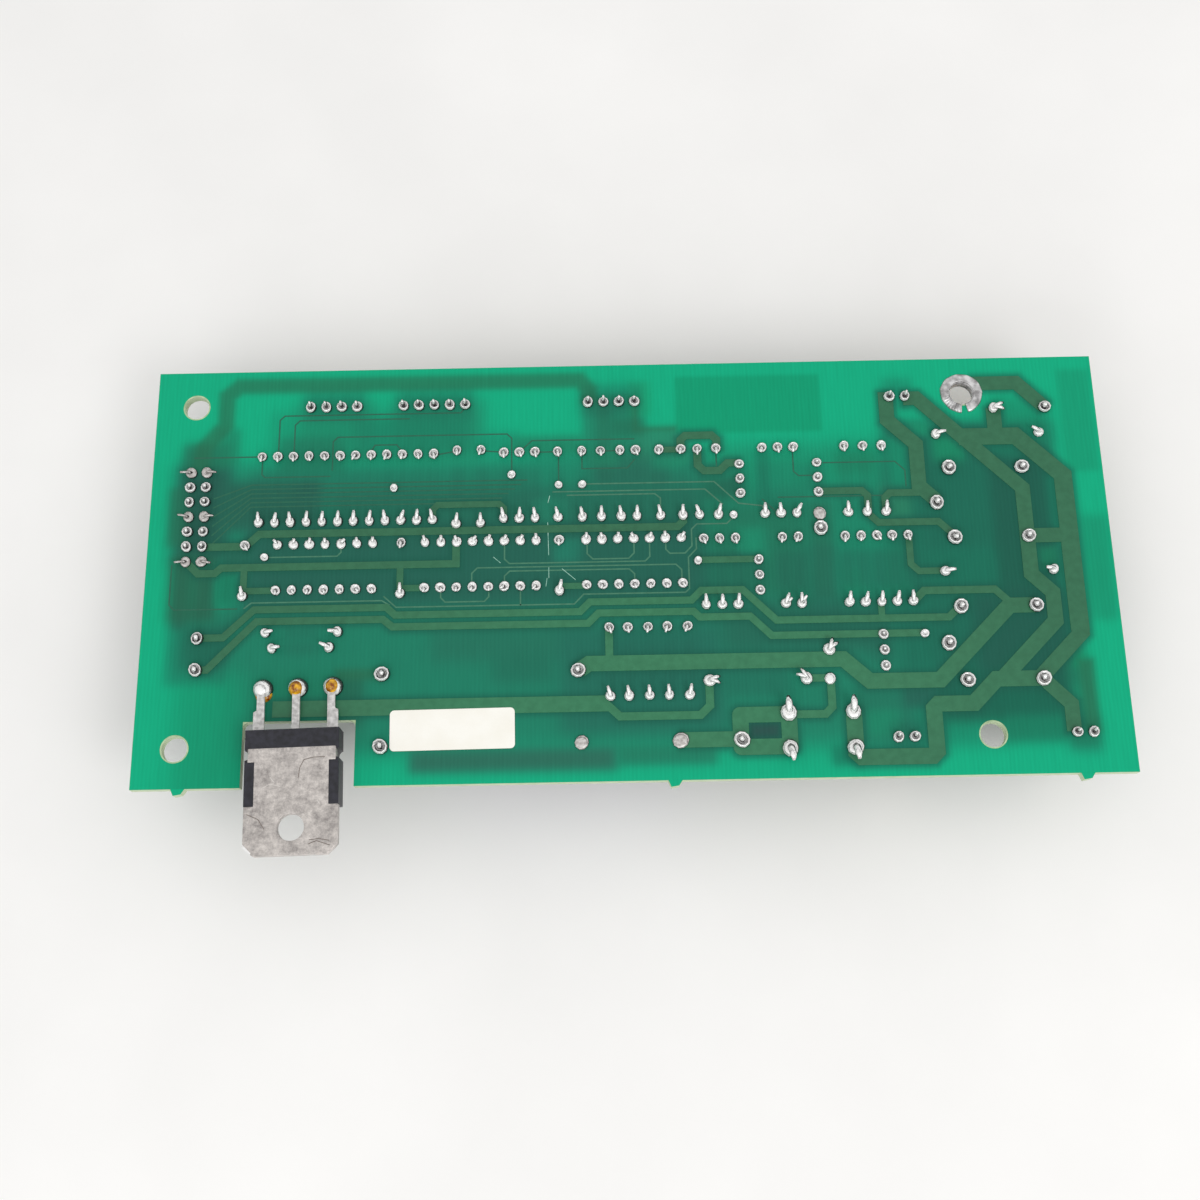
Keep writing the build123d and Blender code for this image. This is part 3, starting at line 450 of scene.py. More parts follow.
# fine tracks of the component side, drawn dark on the solder side where they show through the panel: their
# copper and its painted shadow
shaded_routes = [
    [(8.0, 21.4), (8.0, 23.95), (8.3, 24.25), (19.7, 24.25), (20.0, 24.6)],
    [(9.0, 21.4), (9.0, 23.6), (9.3, 23.9), (16.4, 23.9)],
    [(11.5, 20.4), (11.5, 22.4), (11.8, 22.7), (22.7, 22.7), (23.0, 22.4), (23.0, 20.0)],
    [(13.85, 21.5), (14.2, 22.1), (15.6, 22.1), (16.0, 21.6)],
    [(2.6, 21.43), (6.8, 21.43)],
    [(7.0, 21.2), (7.0, 20.2), (7.2, 20.0), (11.4, 20.0)],
    [(23.5, 21.45), (24.3, 22.2), (30.9, 22.2)],
    [(26.0, 21.2), (26.0, 19.3)],
    [(41.0, 21.2), (41.0, 19.75), (41.3, 19.45), (42.3, 19.45)],
    [(27.5, 21.2), (27.5, 20.2), (30.4, 20.2), (30.9, 20.8)],
    [(18.2, 21.35), (19.3, 21.55)], [(21.2, 21.55), (22.4, 21.45)], [(24.6, 21.4), (25.8, 21.4)],
    [(28.8, 21.4), (29.8, 21.4)], [(36.1, 21.2), (36.1, 20.2)],
    [(39.9, 18.0), (48.2, 18.0)], [(42.9, 20.3), (47.5, 20.3), (48.1, 19.7), (48.1, 18.6)],
    [(38.9, 17.9), (39.7, 17.1)],
    [(1.62, 14.2), (1.62, 11.6), (1.95, 11.25), (5.9, 11.25)],
    *[[(4.0, 15.5 + 0.62 * k), (6.4, 18.0 + 0.3 * k), (22.0 + 0.4 * k, 18.0 + 0.3 * k)] for k in range(6)],
]


def swept(paths, side, across, profile):
    """A profile carried along paths: rings of path points plus the profile in the path's own axes.

    paths is (pieces, points, 3).  Each corner's axis across is the mean heading turned a right
    angle about `side`, lengthened by the cosine of half the bend so that straight runs keep
    their width.  profile is (corners, 2): its first column goes across, its second along `side`.
    """
    legs = np.diff(paths, axis=1)
    legs /= np.linalg.norm(legs, axis=2, keepdims=True)
    before = np.concatenate([legs[:, :1], legs], 1)
    after = np.concatenate([legs, legs[:, -1:]], 1)
    heading = before + after
    heading /= np.linalg.norm(heading, axis=2, keepdims=True)
    stretch = 1 / np.sum(heading * after, axis=2, keepdims=True)
    axis = np.cross(side, heading) * stretch
    return (paths[:, :, None] + across * (axis[:, :, None] * profile[None, None, :, :1]
                                          + np.asarray(side) * profile[None, None, :, 1:]))


def ring_faces(points, first=0):
    """Quads between the rings of (pieces, rings, sides, 3) points, and a cap on each end."""
    count, rings, sides = points.shape[:3]
    here = np.arange(sides)
    there = (here + 1) % sides
    base = (np.arange(rings - 1) * sides)[:, None]
    walls = np.stack([base + here, base + there, base + sides + there, base + sides + here], -1)
    starts = first + np.arange(count) * rings * sides
    walls = (walls.reshape(-1, 4)[None] + starts[:, None, None]).reshape(-1, 4)
    lower = starts[:, None] + here[::-1]
    upper = starts[:, None] + (rings - 1) * sides + here
    return walls.tolist() + lower.tolist() + upper.tolist()


def build(name, stacks, material, slot, *replaced, smooth=True):
    """One object from several stacks of rings, riding on the board."""
    points, faces = [], []
    for stack in stacks:
        faces += ring_faces(stack, len(points))
        points += stack.reshape(-1, 3).tolist()
    mesh = bpy.data.meshes.new(name)
    mesh.from_pydata(points, [], faces)
    mesh.materials.append(material)
    if smooth:
        mesh.shade_smooth()
    made = placed(name, mesh)
    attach(made, "root")
    if replaced:
        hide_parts(*replaced)
    return made


def routed(routes, height):
    """The drill grid places of each route as points at one height."""
    return [np.array([[*at(*place), height] for place in route])[None] for route in routes]


def strips(name, paths, side, width, thickness, material, slot):
    """Flat bars along paths; thickness is counted in the fine tracks' own, per width."""
    build(name, [swept(path, side, width, flat_bar * [1, thickness]) for path in paths], material, slot,
          smooth=False)


upward = np.array([0.0, 0.0, 1.0])
flat_bar = np.array([[-0.5, 0], [0.5, 0], [0.5, 1], [-0.5, 1]])
flat_bar[:, 1] *= fine_high / fine_width
fine_finish = finish("lacquered_fine_copper", (54, 114, 88), (66, 126, 99), 1, 0.45)
strips("fine_tracks", routed(fine_routes, fine_low), upward, fine_width, 1, fine_finish, "masked_copper")
shaded_paths = routed(shaded_routes, fine_low)
strips("shaded_fine_tracks", shaded_paths, upward, fine_width, 0.7,
       finish("fine_copper_behind", (12, 92, 68), (18, 100, 74), 1, 0.5), "masked_copper")
strips("component_side_fine_tracks", [path + low.z * upward for path in shaded_paths], -upward, fine_width, 1,
       fine_finish, "masked_copper")
scratch_width = 0.1 * mm
scratches = [[(25.42, 18.4), (25.3, 17.9)], [(25.28, 16.6), (25.33, 14.4)], [(25.33, 13.6), (25.33, 12.9)],
             [(25.22, 12.9), (25.14, 12.35)], [(21.85, 14.35), (22.3, 13.95)], [(26.15, 13.5), (27.0, 12.75)]]
strips("scratches", routed(scratches, fine_low), upward, scratch_width, 2.5,
       finish("scratched_lacquer", (120, 180, 158), (176, 216, 200), 0.8, 0.6), "solder_mask")

# ---------------------------------------------------------------- solder joints
# Wave-soldered tin and lead: each fillet climbs from its round pad up the lead.  Leads of small
# parts were bent over and cut at a slant, pins and chip legs stand straight, filled holes lie flat.
# the sky direction and grey stops of the solder's painted reflections
sky = np.array([-0.25, -0.35, 0.9])
painted_reflection_stops = ((0.0, 50), (0.35, 95), (0.5, 255), (0.7, 255), (0.77, 120), (0.85, 245), (0.95, 255))


def painted_reflections(material):
    """Painted reflections: bright and dark bands multiplied into uneven metal's colour by its slope against
    the sky, as if it mirrored a room.
    """
    inputs, links = material.node_tree.nodes["Principled BSDF"].inputs, material.node_tree.links
    slope = joined(material, "ShaderNodeVectorMath", "DOT_PRODUCT",
                   Vector=inputs["Normal"].links[0].from_socket)
    slope.inputs[1].default_value = sky / np.linalg.norm(sky)
    band = joined(material, "ShaderNodeValToRGB", Fac=slope.outputs["Value"])
    for stop, grey in painted_reflection_stops:
        knot = band.color_ramp.elements.new(stop) if stop else band.color_ramp.elements[0]
        knot.color = (*tone((grey, grey, grey)), 1)
    product = joined(material, "ShaderNodeVectorMath", "MULTIPLY",
                     Vector=inputs["Base Color"].links[0].from_socket)
    links.new(band.outputs["Color"], product.inputs[1])
    links.new(product.outputs["Vector"], inputs["Base Color"])
    return material


solder = painted_reflections(finish("bright_solder", (250, 249, 246), (255, 255, 254), 0.5, 0.2, metallic=0.3,
                         bump=(0.08, 0.4)))
dull_solder = painted_reflections(finish("dull_solder", (178, 172, 168), (224, 221, 217), 0.5, 0.35, metallic=0.4,
                              bump=(0.05, 0.5)))
turns = np.linspace(0, 2 * np.pi, 10, endpoint=False)
lead_turns = np.linspace(0, 2 * np.pi, 6, endpoint=False)
chance = np.random.default_rng(11)
dome = np.array([[1, 0], [0.97, 0.35], [0.8, 0.72], [0.5, 0.93], [0.2, 1.0], [0, 0.98]])
crater = np.array([[1, 0], [0.95, 0.5], [0.75, 0.95], [0.5, 1.0], [0.28, 0.65], [0.1, 0.5]])
well = np.array([[1, 0], [0.96, 0.5], [0.8, 0.95], [0.62, 1.0], [0.36, 0.45], [0.1, 0.2]])
pool = np.array([[1, 0], [0.98, 0.6], [0.85, 0.95], [0.4, 1.0], [0.1, 0.92], [0, 0.9]])


def joints_of(node):
    """Foot centre, foot radius, tip height and sideways lean of each joint of a CAD node."""
    rows = []
    for points in solids(node):
        foot = points[points[:, 2] < points[:, 2].min() + 0.01 * mm]
        tip = points[points[:, 2] > points[:, 2].max() - 0.01 * mm]
        centre = foot.mean(0)
        lean = (tip.mean(0) - centre)[:2]
        rows.append([*centre[:2], np.hypot(*(foot - centre)[:, :2].T).max(), points[:, 2].max(), *lean])
    return np.array(rows)


def fillets(joints, height, neck, profile, spread=1.0):
    """Turned solder bodies: each ring's radius runs from the neck (0) to the foot's (1) by the
    profile's first column, and its height is the second column times the joint's own height.
    Height and neck are in millimetres.
    """
    count, neck = len(joints), neck * mm
    tall = height * mm * chance.uniform(0.85, 1.15, (count, 1))
    wide = spread * joints[:, 2:3] * chance.uniform(0.95, 1.05, (count, 1))
    radius = neck + (wide - neck) * profile[:, 0]
    lump = 1 + 0.05 * np.sin(2 * turns + chance.uniform(0, 6, (count, 1, 1)))
    x = joints[:, 0, None, None] + radius[..., None] * np.cos(turns) * lump
    y = joints[:, 1, None, None] + radius[..., None] * np.sin(turns) * lump
    z = np.broadcast_to((tall * profile[:, 1])[..., None], x.shape)
    return np.stack([x, y, z], -1)


def leads(joints, thickness, taper, *points):
    """Lead ends: a round wire through the joint's centre, along (sideways, height) points.

    Thickness and points are in millimetres.  The sideways share follows each joint's own lean,
    and the last ring narrows by the taper.
    """
    count = len(joints)
    lean = joints[:, 4:6] / np.maximum(np.hypot(joints[:, 4], joints[:, 5]), 1e-9)[:, None]
    points = np.repeat(np.array(points)[None] * mm, count, 0)
    points = points + chance.normal(0, 0.04 * mm, points.shape)
    path = np.concatenate([joints[:, None, :2] + lean[:, None] * points[..., :1],
                           np.maximum(points[..., 1:], 0.1 * mm)], -1)
    side = np.stack([-lean[:, 1], lean[:, 0], np.zeros(count)], -1)
    heading = np.gradient(path, axis=1)
    heading /= np.linalg.norm(heading, axis=2, keepdims=True)
    across = np.cross(side[:, None], heading)
    size = np.full((1, path.shape[1], 1, 1), thickness * mm)
    size[:, -1] *= taper
    return (path[:, :, None] + size * (across[:, :, None] * np.cos(lead_turns)[:, None]
                                       + side[:, None, None] * np.sin(lead_turns)[:, None]))


def turned(joints, spread):
    """Joints whose lean is turned by chance, within the spread; those with no lean start at +Y."""
    angle = np.where(np.hypot(joints[:, 4], joints[:, 5]) < 0.05 * mm, np.pi / 2,
                     np.arctan2(joints[:, 5], joints[:, 4]))
    angle = angle + chance.normal(0, spread, len(joints))
    return np.column_stack([joints[:, :4], np.cos(angle), np.sin(angle)])


def parted(joints, chosen):
    """The joints for which the choice holds, and the others."""
    return joints[chosen], joints[~chosen]


chips = turned(joints_of("chip_joints"), 0.5)
upper_legs, lower_legs = parted(chips, chips[:, 1] > at(0, 14)[1])
build("chip_solder", [fillets(upper_legs, 0.62, 0.3, dome),
                      leads(upper_legs, 0.28, 1.0, (0, 0.3), (0.35, 0.8), (0.85, 0.9)),
                      fillets(lower_legs, 0.5, 0.3, crater),
                      leads(lower_legs, 0.24, 0.8, (0, 0.2), (-0.3, 0.55), (-0.85, 0.6))],
      solder, "solder", "chip_joints")

straight = turned(joints_of("header_joints"), 0.2)
pins, legs = parted(straight, straight[:, 3] > 1.5 * mm)
ribbon, single = parted(pins, pins[:, 0] < at(5, 0)[0])
ribbon_rows = np.round((ribbon[:, 1] - at(0, 14.38)[1]) / grid).astype(int)
clinched_pins, upright_pins = parted(ribbon, ribbon_rows % 3 == 0)
outward = np.sign(clinched_pins[:, 0] - at(3, 0)[0])
clinched_pins[:, 4:6] = np.stack([outward, chance.normal(0, 0.12, len(outward))], -1)
build("pin_solder", [fillets(single, 0.75, 0.36, crater),
                     leads(single, 0.3, 0.55, (0, 0.4), (0.1, 1.5), (0.15, 2.1)),
                     fillets(upright_pins, 0.7, 0.36, crater),
                     leads(upright_pins, 0.32, 0.7, (0, 0.4), (0.05, 1.0), (0.1, 1.3)),
                     fillets(legs, 0.6, 0.3, crater),
                     leads(legs, 0.24, 0.7, (0, 0.2), (0.05, 0.7), (0.15, 0.95))],
      solder, "solder", "header_joints")
build("clinched_pin_solder", [fillets(clinched_pins, 0.5, 0.36, pool),
                              leads(clinched_pins, 0.2, 0.9, (-0.1, 0.3), (0.3, 0.75), (1.0, 0.85),
                                    (1.65, 0.9))], dull_solder, "solder")

bent = turned(joints_of("clinched_joints"), 0.2)
down, up = parted(bent, bent[:, 5] < -0.3)
doubled = up[(np.abs(up[:, 0] - at(40.55, 0)[0]) < grid) & (up[:, 1] < at(0, 12)[1])]
doubled[:, 4:6] = doubled[:, 4:6] @ [[0.7, -0.7], [0.7, 0.7]]
build("clinched_solder", [fillets(up, 0.85, 0.4, dome, 0.88),
                          leads(up, 0.36, 0.6, (-0.15, 0.3), (0.05, 0.8), (0.75, 1.15), (1.45, 1.4)),
                          leads(doubled, 0.34, 0.5, (0, 0.7), (0.5, 1.2), (0.9, 1.9)),
                          fillets(down, 0.6, 0.36, crater, 0.88),
                          leads(down, 0.27, 0.6, (-0.1, 0.25), (0.2, 0.75), (0.8, 0.95), (1.2, 0.9))],
      solder, "solder", "clinched_joints")

power = turned(joints_of("power_joints"), 0.8)
blades, posts = parted(power, power[:, 2] > 1.25 * mm)
# (column, row, heading in plan) of the power joints whose leads were bent over
forks = np.array([[*at(column, row), *heading] for column, row, heading in (
    (35.15, 6.12, (1, 0.3)), (41.05, 6.15, (-1, 0.3)), (54.1, 23.85, (1, 0.4)), (42.55, 7.95, (0.3, 1)))])
apart = np.hypot(*(posts[:, None, :2] - forks[:, :2]).transpose(2, 0, 1))
forked, posts = posts[apart.argmin(0)], posts[apart.min(1) > 0.5 * mm]
forked[:, 4:6] = forks[:, 2:]
second = np.column_stack([forked[:, :4], forked[:, 4:6] @ [[0.77, -0.64], [0.64, 0.77]]])
blades[:, 4:6] = np.stack([chance.normal(0, 0.1, len(blades)), np.sign(blades[:, 1] - at(0, 3)[1])], -1)
build("power_solder", [fillets(posts, 0.85, 0.5, well, 1.06),
                       leads(posts, 0.42, 0.75, (0, 0.2), (0.05, 0.9), (0.3, 1.35)),
                       fillets(forked, 0.8, 0.5, dome, 0.85),
                       *[leads(pair, 0.3, 0.7, (-0.3, 0.5), (0.3, 1.0), (1.1, 1.2), (1.6, 0.9))
                         for pair in (forked, second)],
                       fillets(blades, 1.1, 0.6, dome, 1.05),
                       leads(blades, 0.58, 0.45, (-0.2, 0.4), (0.4, 1.4), (1.3, 1.9), (2.2, 1.7))],
      solder, "solder", "power_joints")

flat = joints_of("filled_holes")
vias, holes = parted(flat, flat[:, 2] < 0.8 * mm)
mound, holes = parted(holes, holes[:, 2] < 1.02 * mm)
build("filled_hole_solder", [fillets(holes, 0.4, 0.2, pool)], dull_solder, "solder", "filled_holes")
build("via_solder", [fillets(vias, 0.55, 0.25, crater, 1.1), fillets(mound, 0.6, 0.2, dome)], solder,
      "solder")

# ---------------------------------------------------------------- plated fixing hole
# A ring of tinned copper round the earthed fixing hole, scraped by its screw head and washer,
# with a break at its lower side where the solder has worn away.
ring_at = at(52.15, 24.95)
ring_inner, ring_outer, ring_height = 1.97 * mm, 3.5 * mm, 0.36 * mm
gap_angle, gap_half = -1.48, 0.16
around = np.linspace(gap_angle + gap_half, gap_angle + 2 * np.pi - gap_half, 150)
ring_profile = np.array([[0, -0.5], [0.02, 0.7], [0.15, 1.0], [0.4, 0.8], [0.7, 0.75], [0.88, 0.6], [1, 0]])
rough = np.exp(-((around - gap_angle - 5.6) ** 2) / 0.5)[:, None]
wander = (0.05 * np.sin(3 * around) + 0.03 * np.sin(11 * around + 1))[:, None] * mm
reach = ring_inner + (ring_outer + wander - ring_inner) * ring_profile[:, 0]
ripple = 0.05 * np.sin(9 * around)[:, None] + 0.5 * rough * np.sin(41 * around)[:, None]
rise = ring_profile[:, 1] * ring_height * (1 + ripple * (ring_profile[:, 1] > 0))
ring_points = np.stack([ring_at[0] + reach * np.cos(around)[:, None],
                        ring_at[1] + reach * np.sin(around)[:, None], rise], -1)
whole = np.linspace(0, 2 * np.pi, 48, endpoint=False)
barrel_wall = np.array([[ring_inner, 0.05 * mm], [ring_inner, -1.6 * mm], [2.6 * mm, -1.68 * mm],
                        [2.6 * mm, -1.61 * mm], [2.0 * mm, -1.58 * mm], [2.0 * mm, 0.05 * mm]])
barrel = np.stack([ring_at[0] + barrel_wall[:, 0] * np.cos(whole)[:, None],
                   ring_at[1] + barrel_wall[:, 0] * np.sin(whole)[:, None],
                   np.broadcast_to(barrel_wall[:, 1], (len(whole), len(barrel_wall)))], -1)
barrel = np.concatenate([barrel, barrel[:1]])
build("plated_ring_solder", [ring_points[None, ::-1], barrel[None, ::-1]],
      finish("scraped_solder", (146, 144, 144), (226, 225, 225), 1.1, 0.3, metallic=0.6,
             bump=(0.03, 0.35)), "solder", "plated_hole_ring")

# ---------------------------------------------------------------- sticker
# A small rounded label of off-white paper, stuck over the wide track beside the notch and left blank.
dress("label", finish("label_paper", (246, 243, 233), (250, 248, 240), 4, 0.7, bump=(0.01, 0.4)))

# ---------------------------------------------------------------- power transistor
# A moulded case on a tinned copper tab, laid on its face in the notch with its metal back up.
# Three flat leads are cropped, formed and soldered; flux has set on their joints as amber beads.
mould = finish("transistor_mould", (20, 20, 27), (40, 40, 50), 0.9, 0.45, bump=(0.04, 0.35))


def softened(name, node, width, material):
    """A copy of a CAD node, its points merged and its sharp edges rounded by a bevel."""
    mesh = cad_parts[node].data.copy()
    mesh.name = name
    mesh.materials.clear()
    mesh.materials.append(material)
    made = placed(name, mesh)
    weld = made.modifiers.new("weld", "WELD")
    weld.merge_threshold = 0.002 * mm
    bevel = made.modifiers.new("bevel", "BEVEL")
    bevel.width = width
    bevel.segments = 2
    bevel.limit_method = "ANGLE"
    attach(made, "root")
    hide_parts(node)


softened("transistor_body", "transistor_case", 0.15 * mm, mould)
tab_metal = finish("dull_tab", (150, 144, 141), (224, 217, 211), 2.2, 0.38, metallic=0.5, bump=(0.08, 0.25))
tab_metal.node_tree.nodes["Noise Texture"].inputs["Roughness"].default_value = 0.85
softened("transistor_back", "transistor_tab", 0.12 * mm, tab_metal)
lead_metal = finish("lead_tin", (186, 184, 182), (232, 230, 228), 0.6, 0.4, metallic=0.6, bump=(0.03, 0.3))
softened("formed_leads", "transistor_leads", 0.1 * mm, lead_metal)
tab_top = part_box("transistor_tab")[1].z - 0.02 * mm
tab_marks = [
    ("tab_scratches", 0.12 * mm, (112, 103, 97), (138, 128, 120), [
        [(10.72, 1.42), (11.27, 1.56), (11.97, 1.59)], [(10.72, 1.42), (10.49, 0.93), (10.42, 0.3)],
        [(11.17, -3.59), (11.64, -3.4), (12.0, -3.52), (12.45, -3.67)],
        [(11.2, -3.35), (11.8, -3.28), (12.4, -3.4)],
        [(7.45, -1.8), (8.15, -2.1), (8.55, -2.7)]]),
    # pale lines of painted highlight on the tab's metal
    ("tab_shine", 0.1 * mm, (204, 198, 192), (224, 219, 214), [
        [(8.13, -0.34), (8.75, -0.02), (9.38, -0.16)], [(8.75, 0.39), (9.02, 0.07)],
        [(11.59, -1.01), (11.8, -1.28)]]),
    # a painted highlight along the tab's chamfered corner
    ("tab_corner_shine", 0.32 * mm, (232, 230, 228), (250, 249, 248), [[(7.27, -3.62), (7.78, -4.12)]])]
for name, width, dark, light, routes in tab_marks:
    strips(name, routed(routes, tab_top), upward, width, fine_width / width,
           finish(name, dark, light, 0.8, 0.45, metallic=0.4), "transistor_metal")

bead_steps = np.array([0, 0.25, 0.55, 0.8, 0.95, 1.0])
bead_turns = np.linspace(0, 2 * np.pi, 24, endpoint=False)


def domes(places, radius, height, squash=1.0):
    """Flattened half balls: radius by cosine and height by sine of the same quarter turn."""
    quarter = bead_steps * np.pi / 2
    places = np.asarray(places)
    wide = (np.cos(quarter) * radius + 0.02 * radius)[None, :, None]
    x = places[:, 0, None, None] + wide * np.cos(bead_turns)
    y = places[:, 1, None, None] + wide * np.sin(bead_turns) * squash
    z = np.broadcast_to((np.sin(quarter) * height)[None, :, None], x.shape)
    return np.stack([x, y, z], -1)


beads = np.array([points.mean(0)[:2] for points in solids("transistor_solder")])
beads = beads[np.argsort(beads[:, 0])]
build("transistor_beads", [domes(beads, 1.55 * mm, 1.45 * mm)], solder, "solder", "transistor_solder")
amber = finish("set_flux", (122, 52, 2), (244, 186, 40), 0.9, 0.08, bump=(0.1, 0.8))
build("flux_beads", [domes(beads[1:2] + [-0.15 * mm, -0.15 * mm], 1.3 * mm, 1.85 * mm, 1.05),
                     domes(beads[2:] + [-0.05 * mm, -0.05 * mm], 1.25 * mm, 1.8 * mm, 1.1),
                     domes(beads[:1] + [0.1 * mm, -0.75 * mm], 1.35 * mm, 0.7 * mm)], amber, "solder")

# ---------------------------------------------------------------- chips
# Three dual in-line logic packages: black moulded epoxy round a lead frame whose tinned legs are
# bent down and pass through the board.
chip_mould = finish("chip_mould", (34, 34, 36), (46, 46, 48), 1, 0.55, bump=(0.02, 0.25))
leg_tin = finish("leg_tin", (170, 170, 166), (205, 205, 200), 0.8, 0.35, metallic=0.9)
for side in ("left", "middle", "right"):
    softened(side + "_chip_body", side + "_chip_case", 0.12 * mm, chip_mould)
    dress(side + "_chip_legs", leg_tin)


# ---------------------------------------------------------------- resistors
# Carbon film on a ceramic rod, capped at both ends, dipped in tan lacquer and marked with painted
# code bands.  The leads are tinned wire, bent at right angles and pushed through the board.
def turned_bodies(name, node, profile, paints, slot, sides=12):
    """Round bodies along the longest side of each solid of a CAD node, in place of its solids.

    Profile rows are (share of the length, share of the radius, paint of the stretch that
    follows).  Paint -1 is drawn by chance.
    """
    share, wide, paint = np.array(profile).T
    turn = np.linspace(0, 2 * np.pi, sides, endpoint=False)
    stacks, worn = [], []
    for points in solids(node):
        low, high = points.min(0), points.max(0)
        axes = np.roll(np.eye(3), -1 - int(np.argmax(high - low)), 0)
        reach, radius = (high - low) @ axes[2], (high - low) @ axes[0] / 2
        circle = np.cos(turn)[:, None] * axes[0] + np.sin(turn)[:, None] * axes[1]
        centres = (low + high) / 2 + ((share - 0.5) * reach)[:, None] * axes[2]
        stacks.append((centres[:, None] + (wide * radius)[:, None, None] * circle)[None])
        drawn_paint = np.where(paint < 0, chance.integers(0, len(paints), len(paint)), paint)
        worn += [*np.repeat(drawn_paint[:-1], sides), drawn_paint[0], drawn_paint[-1]]
    made = build(name, stacks, paints[0], slot, node)
    for more in paints[1:]:
        made.data.materials.append(more)
    made.data.polygons.foreach_set("material_index", np.array(worn, int))


coat = finish("resistor_coat", (192, 156, 108), (212, 178, 130), 1.5, 0.4)
codes = [finish(name, dark, light, 1, 0.4) for name, dark, light in (
    ("code_brown", (84, 48, 28), (98, 58, 36)), ("code_black", (26, 24, 24), (38, 36, 36)),
    ("code_red", (156, 30, 26), (176, 42, 36)), ("code_orange", (206, 104, 30), (222, 120, 42)),
    ("code_yellow", (214, 180, 44), (226, 194, 60)), ("code_gold", (158, 124, 58), (184, 148, 78)))]
resistor_form = [(0, 0.35, 0), (0.02, 0.85, 0), (0.09, 1, 0), (0.12, 1, -1), (0.19, 1, 0), (0.25, 0.88, 0),
                 (0.34, 0.85, -1), (0.41, 0.85, 0), (0.5, 0.85, -1), (0.57, 0.85, 0), (0.75, 0.88, 0),
                 (0.81, 1, 6), (0.88, 1, 0), (0.91, 1, 0), (0.98, 0.85, 0), (1, 0.35, 0)]
for group in ("resistors", "logic_resistors", "driver_resistors", "gate_resistors"):
    turned_bodies("banded_" + group, group, resistor_form, [coat, *codes], "resistor_coat")
    dress(group + "_leads", leg_tin)

# ---------------------------------------------------------------- diodes
# Two glass signal diodes in the resistor row, two epoxy ones across the relay coils and a large
# one for the motor current.  A painted band marks the cathode end.
diode_form = [(0, 0.4, 0), (0.01, 0.9, 0), (0.06, 1, 0), (0.74, 1, 1), (0.88, 1, 0), (0.94, 1, 0),
              (0.99, 0.9, 0), (1, 0.4, 0)]
epoxy = finish("diode_epoxy", (26, 26, 28), (38, 38, 40), 1, 0.35)
cathode = finish("cathode_band", (188, 188, 186), (208, 208, 206), 1, 0.4)
glass = finish("diode_glass", (158, 74, 32), (190, 98, 46), 1, 0.15)
band_black = finish("band_black", (22, 20, 20), (32, 30, 30), 1, 0.3)
for group, body, band, slot, sides in (("signal_diodes", glass, band_black, "glass_diode", 12),
                                       ("relay_diodes", epoxy, cathode, "diode_body", 24),
                                       ("power_diode", epoxy, cathode, "diode_body", 32)):
    turned_bodies("banded_" + group, group, diode_form, [body, band], slot, sides)
    dress(group + "_leads", leg_tin)

# ---------------------------------------------------------------- axial capacitors
# Small ceramic ones beside the chips, in an amber coat that swells over both end caps, and a long
# electrolytic one in a blue sleeve, shrunk over the edges of its aluminium can.
amber_coat = finish("amber_coat", (176, 106, 30), (200, 130, 46), 1.2, 0.3)
sleeve = finish("blue_sleeve", (28, 44, 84), (38, 56, 100), 3, 0.35)
aluminium = finish("can_aluminium", (176, 178, 180), (208, 210, 212), 1.5, 0.35, metallic=0.8)
bead_form = [(0, 0.2, 0), (0.03, 0.6, 0), (0.12, 0.95, 0), (0.22, 1, 0), (0.4, 0.88, 0), (0.6, 0.88, 0),
             (0.78, 1, 0), (0.88, 0.95, 0), (0.97, 0.6, 0), (1, 0.2, 0)]
sleeve_form = [(0, 0.25, 1), (0, 0.8, 0), (0.004, 0.95, 0), (0.015, 1, 0), (0.88, 1, 0), (0.9, 0.9, 0),
               (0.93, 0.9, 0), (0.95, 1, 0), (0.985, 1, 0), (0.996, 0.95, 0), (1, 0.8, 1), (1, 0.25, 1)]
turned_bodies("bypass_beads", "bypass_capacitors", bead_form, [amber_coat], "bead_capacitor", 16)
turned_bodies("filter_can", "filter_capacitor", sleeve_form, [sleeve, aluminium], "capacitor_sleeve", 48)
for group in ("bypass_capacitors", "filter_capacitor"):
    dress(group + "_leads", leg_tin)

# ---------------------------------------------------------------- wirewound resistors
# Resistance wire in a square trough filled with white cement, for braking the motor, and a round
# one in grey-green enamel that senses the motor's current.  Both stand off the board to cool.
cement = finish("white_cement", (206, 202, 192), (224, 220, 210), 1.2, 0.8, bump=(0.04, 0.5))
softened("brake_block", "brake_resistor", 0.35 * mm, cement)
enamel = finish("grey_green_enamel", (78, 96, 82), (94, 112, 96), 1.5, 0.4)
enamel_form = [(0, 0.4, 0), (0.01, 0.85, 0), (0.05, 1, 0), (0.3, 0.97, 0), (0.7, 0.97, 0), (0.95, 1, 0),
               (0.99, 0.85, 0), (1, 0.4, 0)]
turned_bodies("sense_rod", "sense_resistor", enamel_form, [enamel], "sense_coat", 32)
for group in ("brake_resistor", "sense_resistor"):
    dress(group + "_leads", leg_tin)

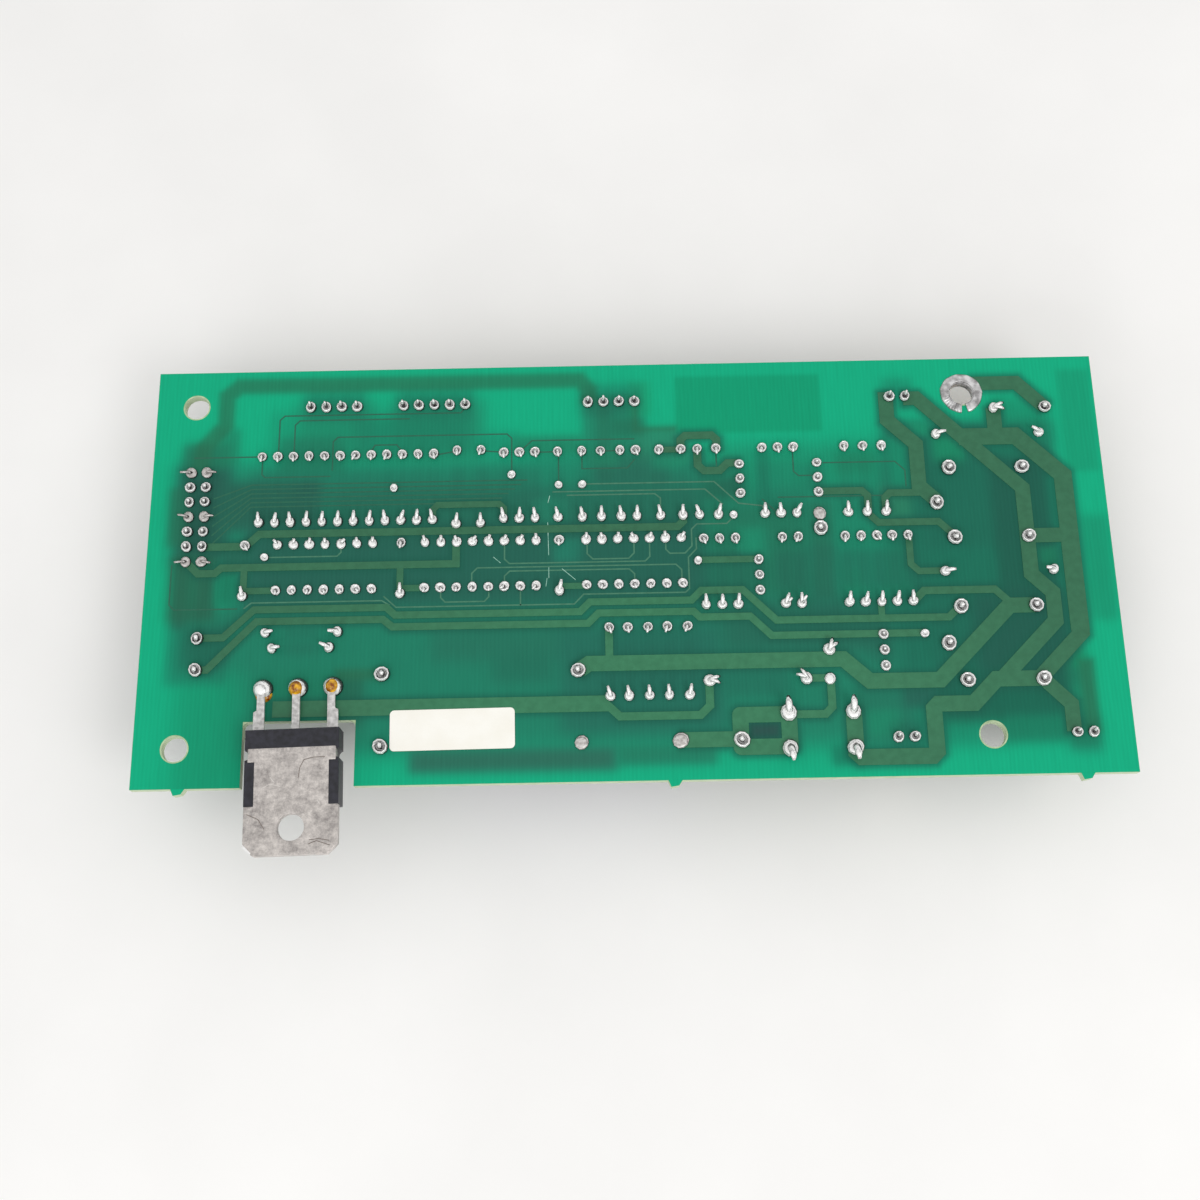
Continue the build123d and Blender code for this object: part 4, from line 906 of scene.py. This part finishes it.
# ---------------------------------------------------------------- relays and upright capacitors
# Two sealed relays in black polyester cases on low feet, the supply's electrolytic can with its
# rolled groove and scored aluminium end, and a film capacitor in a yellow box.
relay_shell = finish("relay_shell", (30, 30, 33), (40, 40, 43), 2, 0.35)
for name in ("upper_relay", "lower_relay"):
    softened(name + "_shell", name, 0.2 * mm, relay_shell)
can_form = [(0, 0.1, 1), (0, 0.8, 1), (0.002, 0.86, 0), (0.012, 0.96, 0), (0.03, 1, 0), (0.84, 1, 0),
            (0.87, 0.91, 0), (0.9, 1, 0), (0.985, 1, 0), (1, 0.94, 0), (1, 0.1, 0)]
turned_bodies("supply_can", "supply_capacitor", can_form, [sleeve, aluminium], "capacitor_sleeve", 48)
yellow_box = finish("yellow_box", (196, 146, 34), (212, 162, 48), 2, 0.35)
softened("film_box", "film_capacitor", 0.15 * mm, yellow_box)
dress("relay_pins", leg_tin)
dress("capacitor_legs", leg_tin)

# ---------------------------------------------------------------- connectors
# A black shrouded header for the ribbon cable, six friction-lock headers in natural nylon, all on
# square tinned pins, and two tinned brass blades for push-on terminals.
nylon = finish("natural_nylon", (214, 208, 186), (228, 223, 204), 2, 0.45)
shroud = finish("shroud_plastic", (30, 30, 32), (42, 42, 44), 1.5, 0.5)
softened("ribbon_shroud", "ribbon_header_shell", 0.12 * mm, shroud)
for name in ("sensor_header_housing", "panel_header_housing", "motor_header_housing", "two_pin_housings"):
    softened("moulded_" + name, name, 0.12 * mm, nylon)
pin_tin = finish("pin_tin", (190, 188, 180), (216, 214, 206), 0.8, 0.3, metallic=0.9)
for name in ("ribbon_header_pins", "header_pins", "two_pin_header_pins"):
    dress(name, pin_tin)
blade_tin = finish("blade_tin", (178, 170, 148), (206, 198, 176), 1.5, 0.35, metallic=0.85)
softened("stamped_blades", "blade_terminals", 0.08 * mm, blade_tin)

# ---------------------------------------------------------------- small transistors
# Four plastic transistors, round with one flat side, standing on three straight legs each.
softened("small_transistor_bodies", "small_transistors", 0.1 * mm, chip_mould)
dress("small_transistor_legs", leg_tin)

# ---------------------------------------------------------------- stage, light and camera
# A pale table under the relays and the tall capacitor.  Two soft square lamps stand to the front
# right and front left, and a white room fills the shade.
base = cad_box[0].z
floor_mesh = bpy.data.meshes.new("table")
reach = 2.5
floor_mesh.from_pydata([(-reach, -reach, base), (reach, -reach, base), (reach, reach, base),
                        (-reach, reach, base)], [], [(0, 1, 2, 3)])
floor_mesh.materials.append(finish("pale_table", (244, 243, 241), (250, 249, 247), 60, 0.6))
floor = placed("table", floor_mesh)


def panel(name, place, size, power):
    """A square soft light that faces the board."""
    lamp = bpy.data.lights.new(name, "AREA")
    lamp.size = size
    lamp.energy = power
    made = placed(name, lamp)
    made.location = place
    made.rotation_mode = "QUATERNION"
    made.rotation_quaternion = (-Vector(place)).to_track_quat("-Z", "Y")


panel("key_light", (0.45, -0.5, 0.7), 0.4, 2.0)
panel("front_light", (-0.25, -0.74, 0.5), 0.4, 1.2)
world = bpy.data.worlds.new("studio")
world.use_nodes = True
world.node_tree.nodes["Background"].inputs["Color"].default_value = (1, 1, 1, 1)
world.node_tree.nodes["Background"].inputs["Strength"].default_value = 0.8
bpy.context.scene.world = world

camera_data = bpy.data.cameras.new("camera")
camera_data.lens = 44.69
camera_data.clip_start, camera_data.clip_end = 0.01, 10
camera = placed("camera", camera_data)
# the camera's own axes, to its right, up and back, and its place
right = (0.99983, -0.01677, -0.00911)
up = (0.0187, 0.95646, 0.29138)
back = (0.00383, -0.2915, 0.9566)
spot = (3.83 * mm, -74.51 * mm, 225.34 * mm)
camera.matrix_world = Matrix(((right[0], up[0], back[0], spot[0]), (right[1], up[1], back[1], spot[1]),
                              (right[2], up[2], back[2], spot[2]), (0, 0, 0, 1)))
bpy.context.scene.camera = camera
bpy.context.scene.view_settings.view_transform = "Standard"
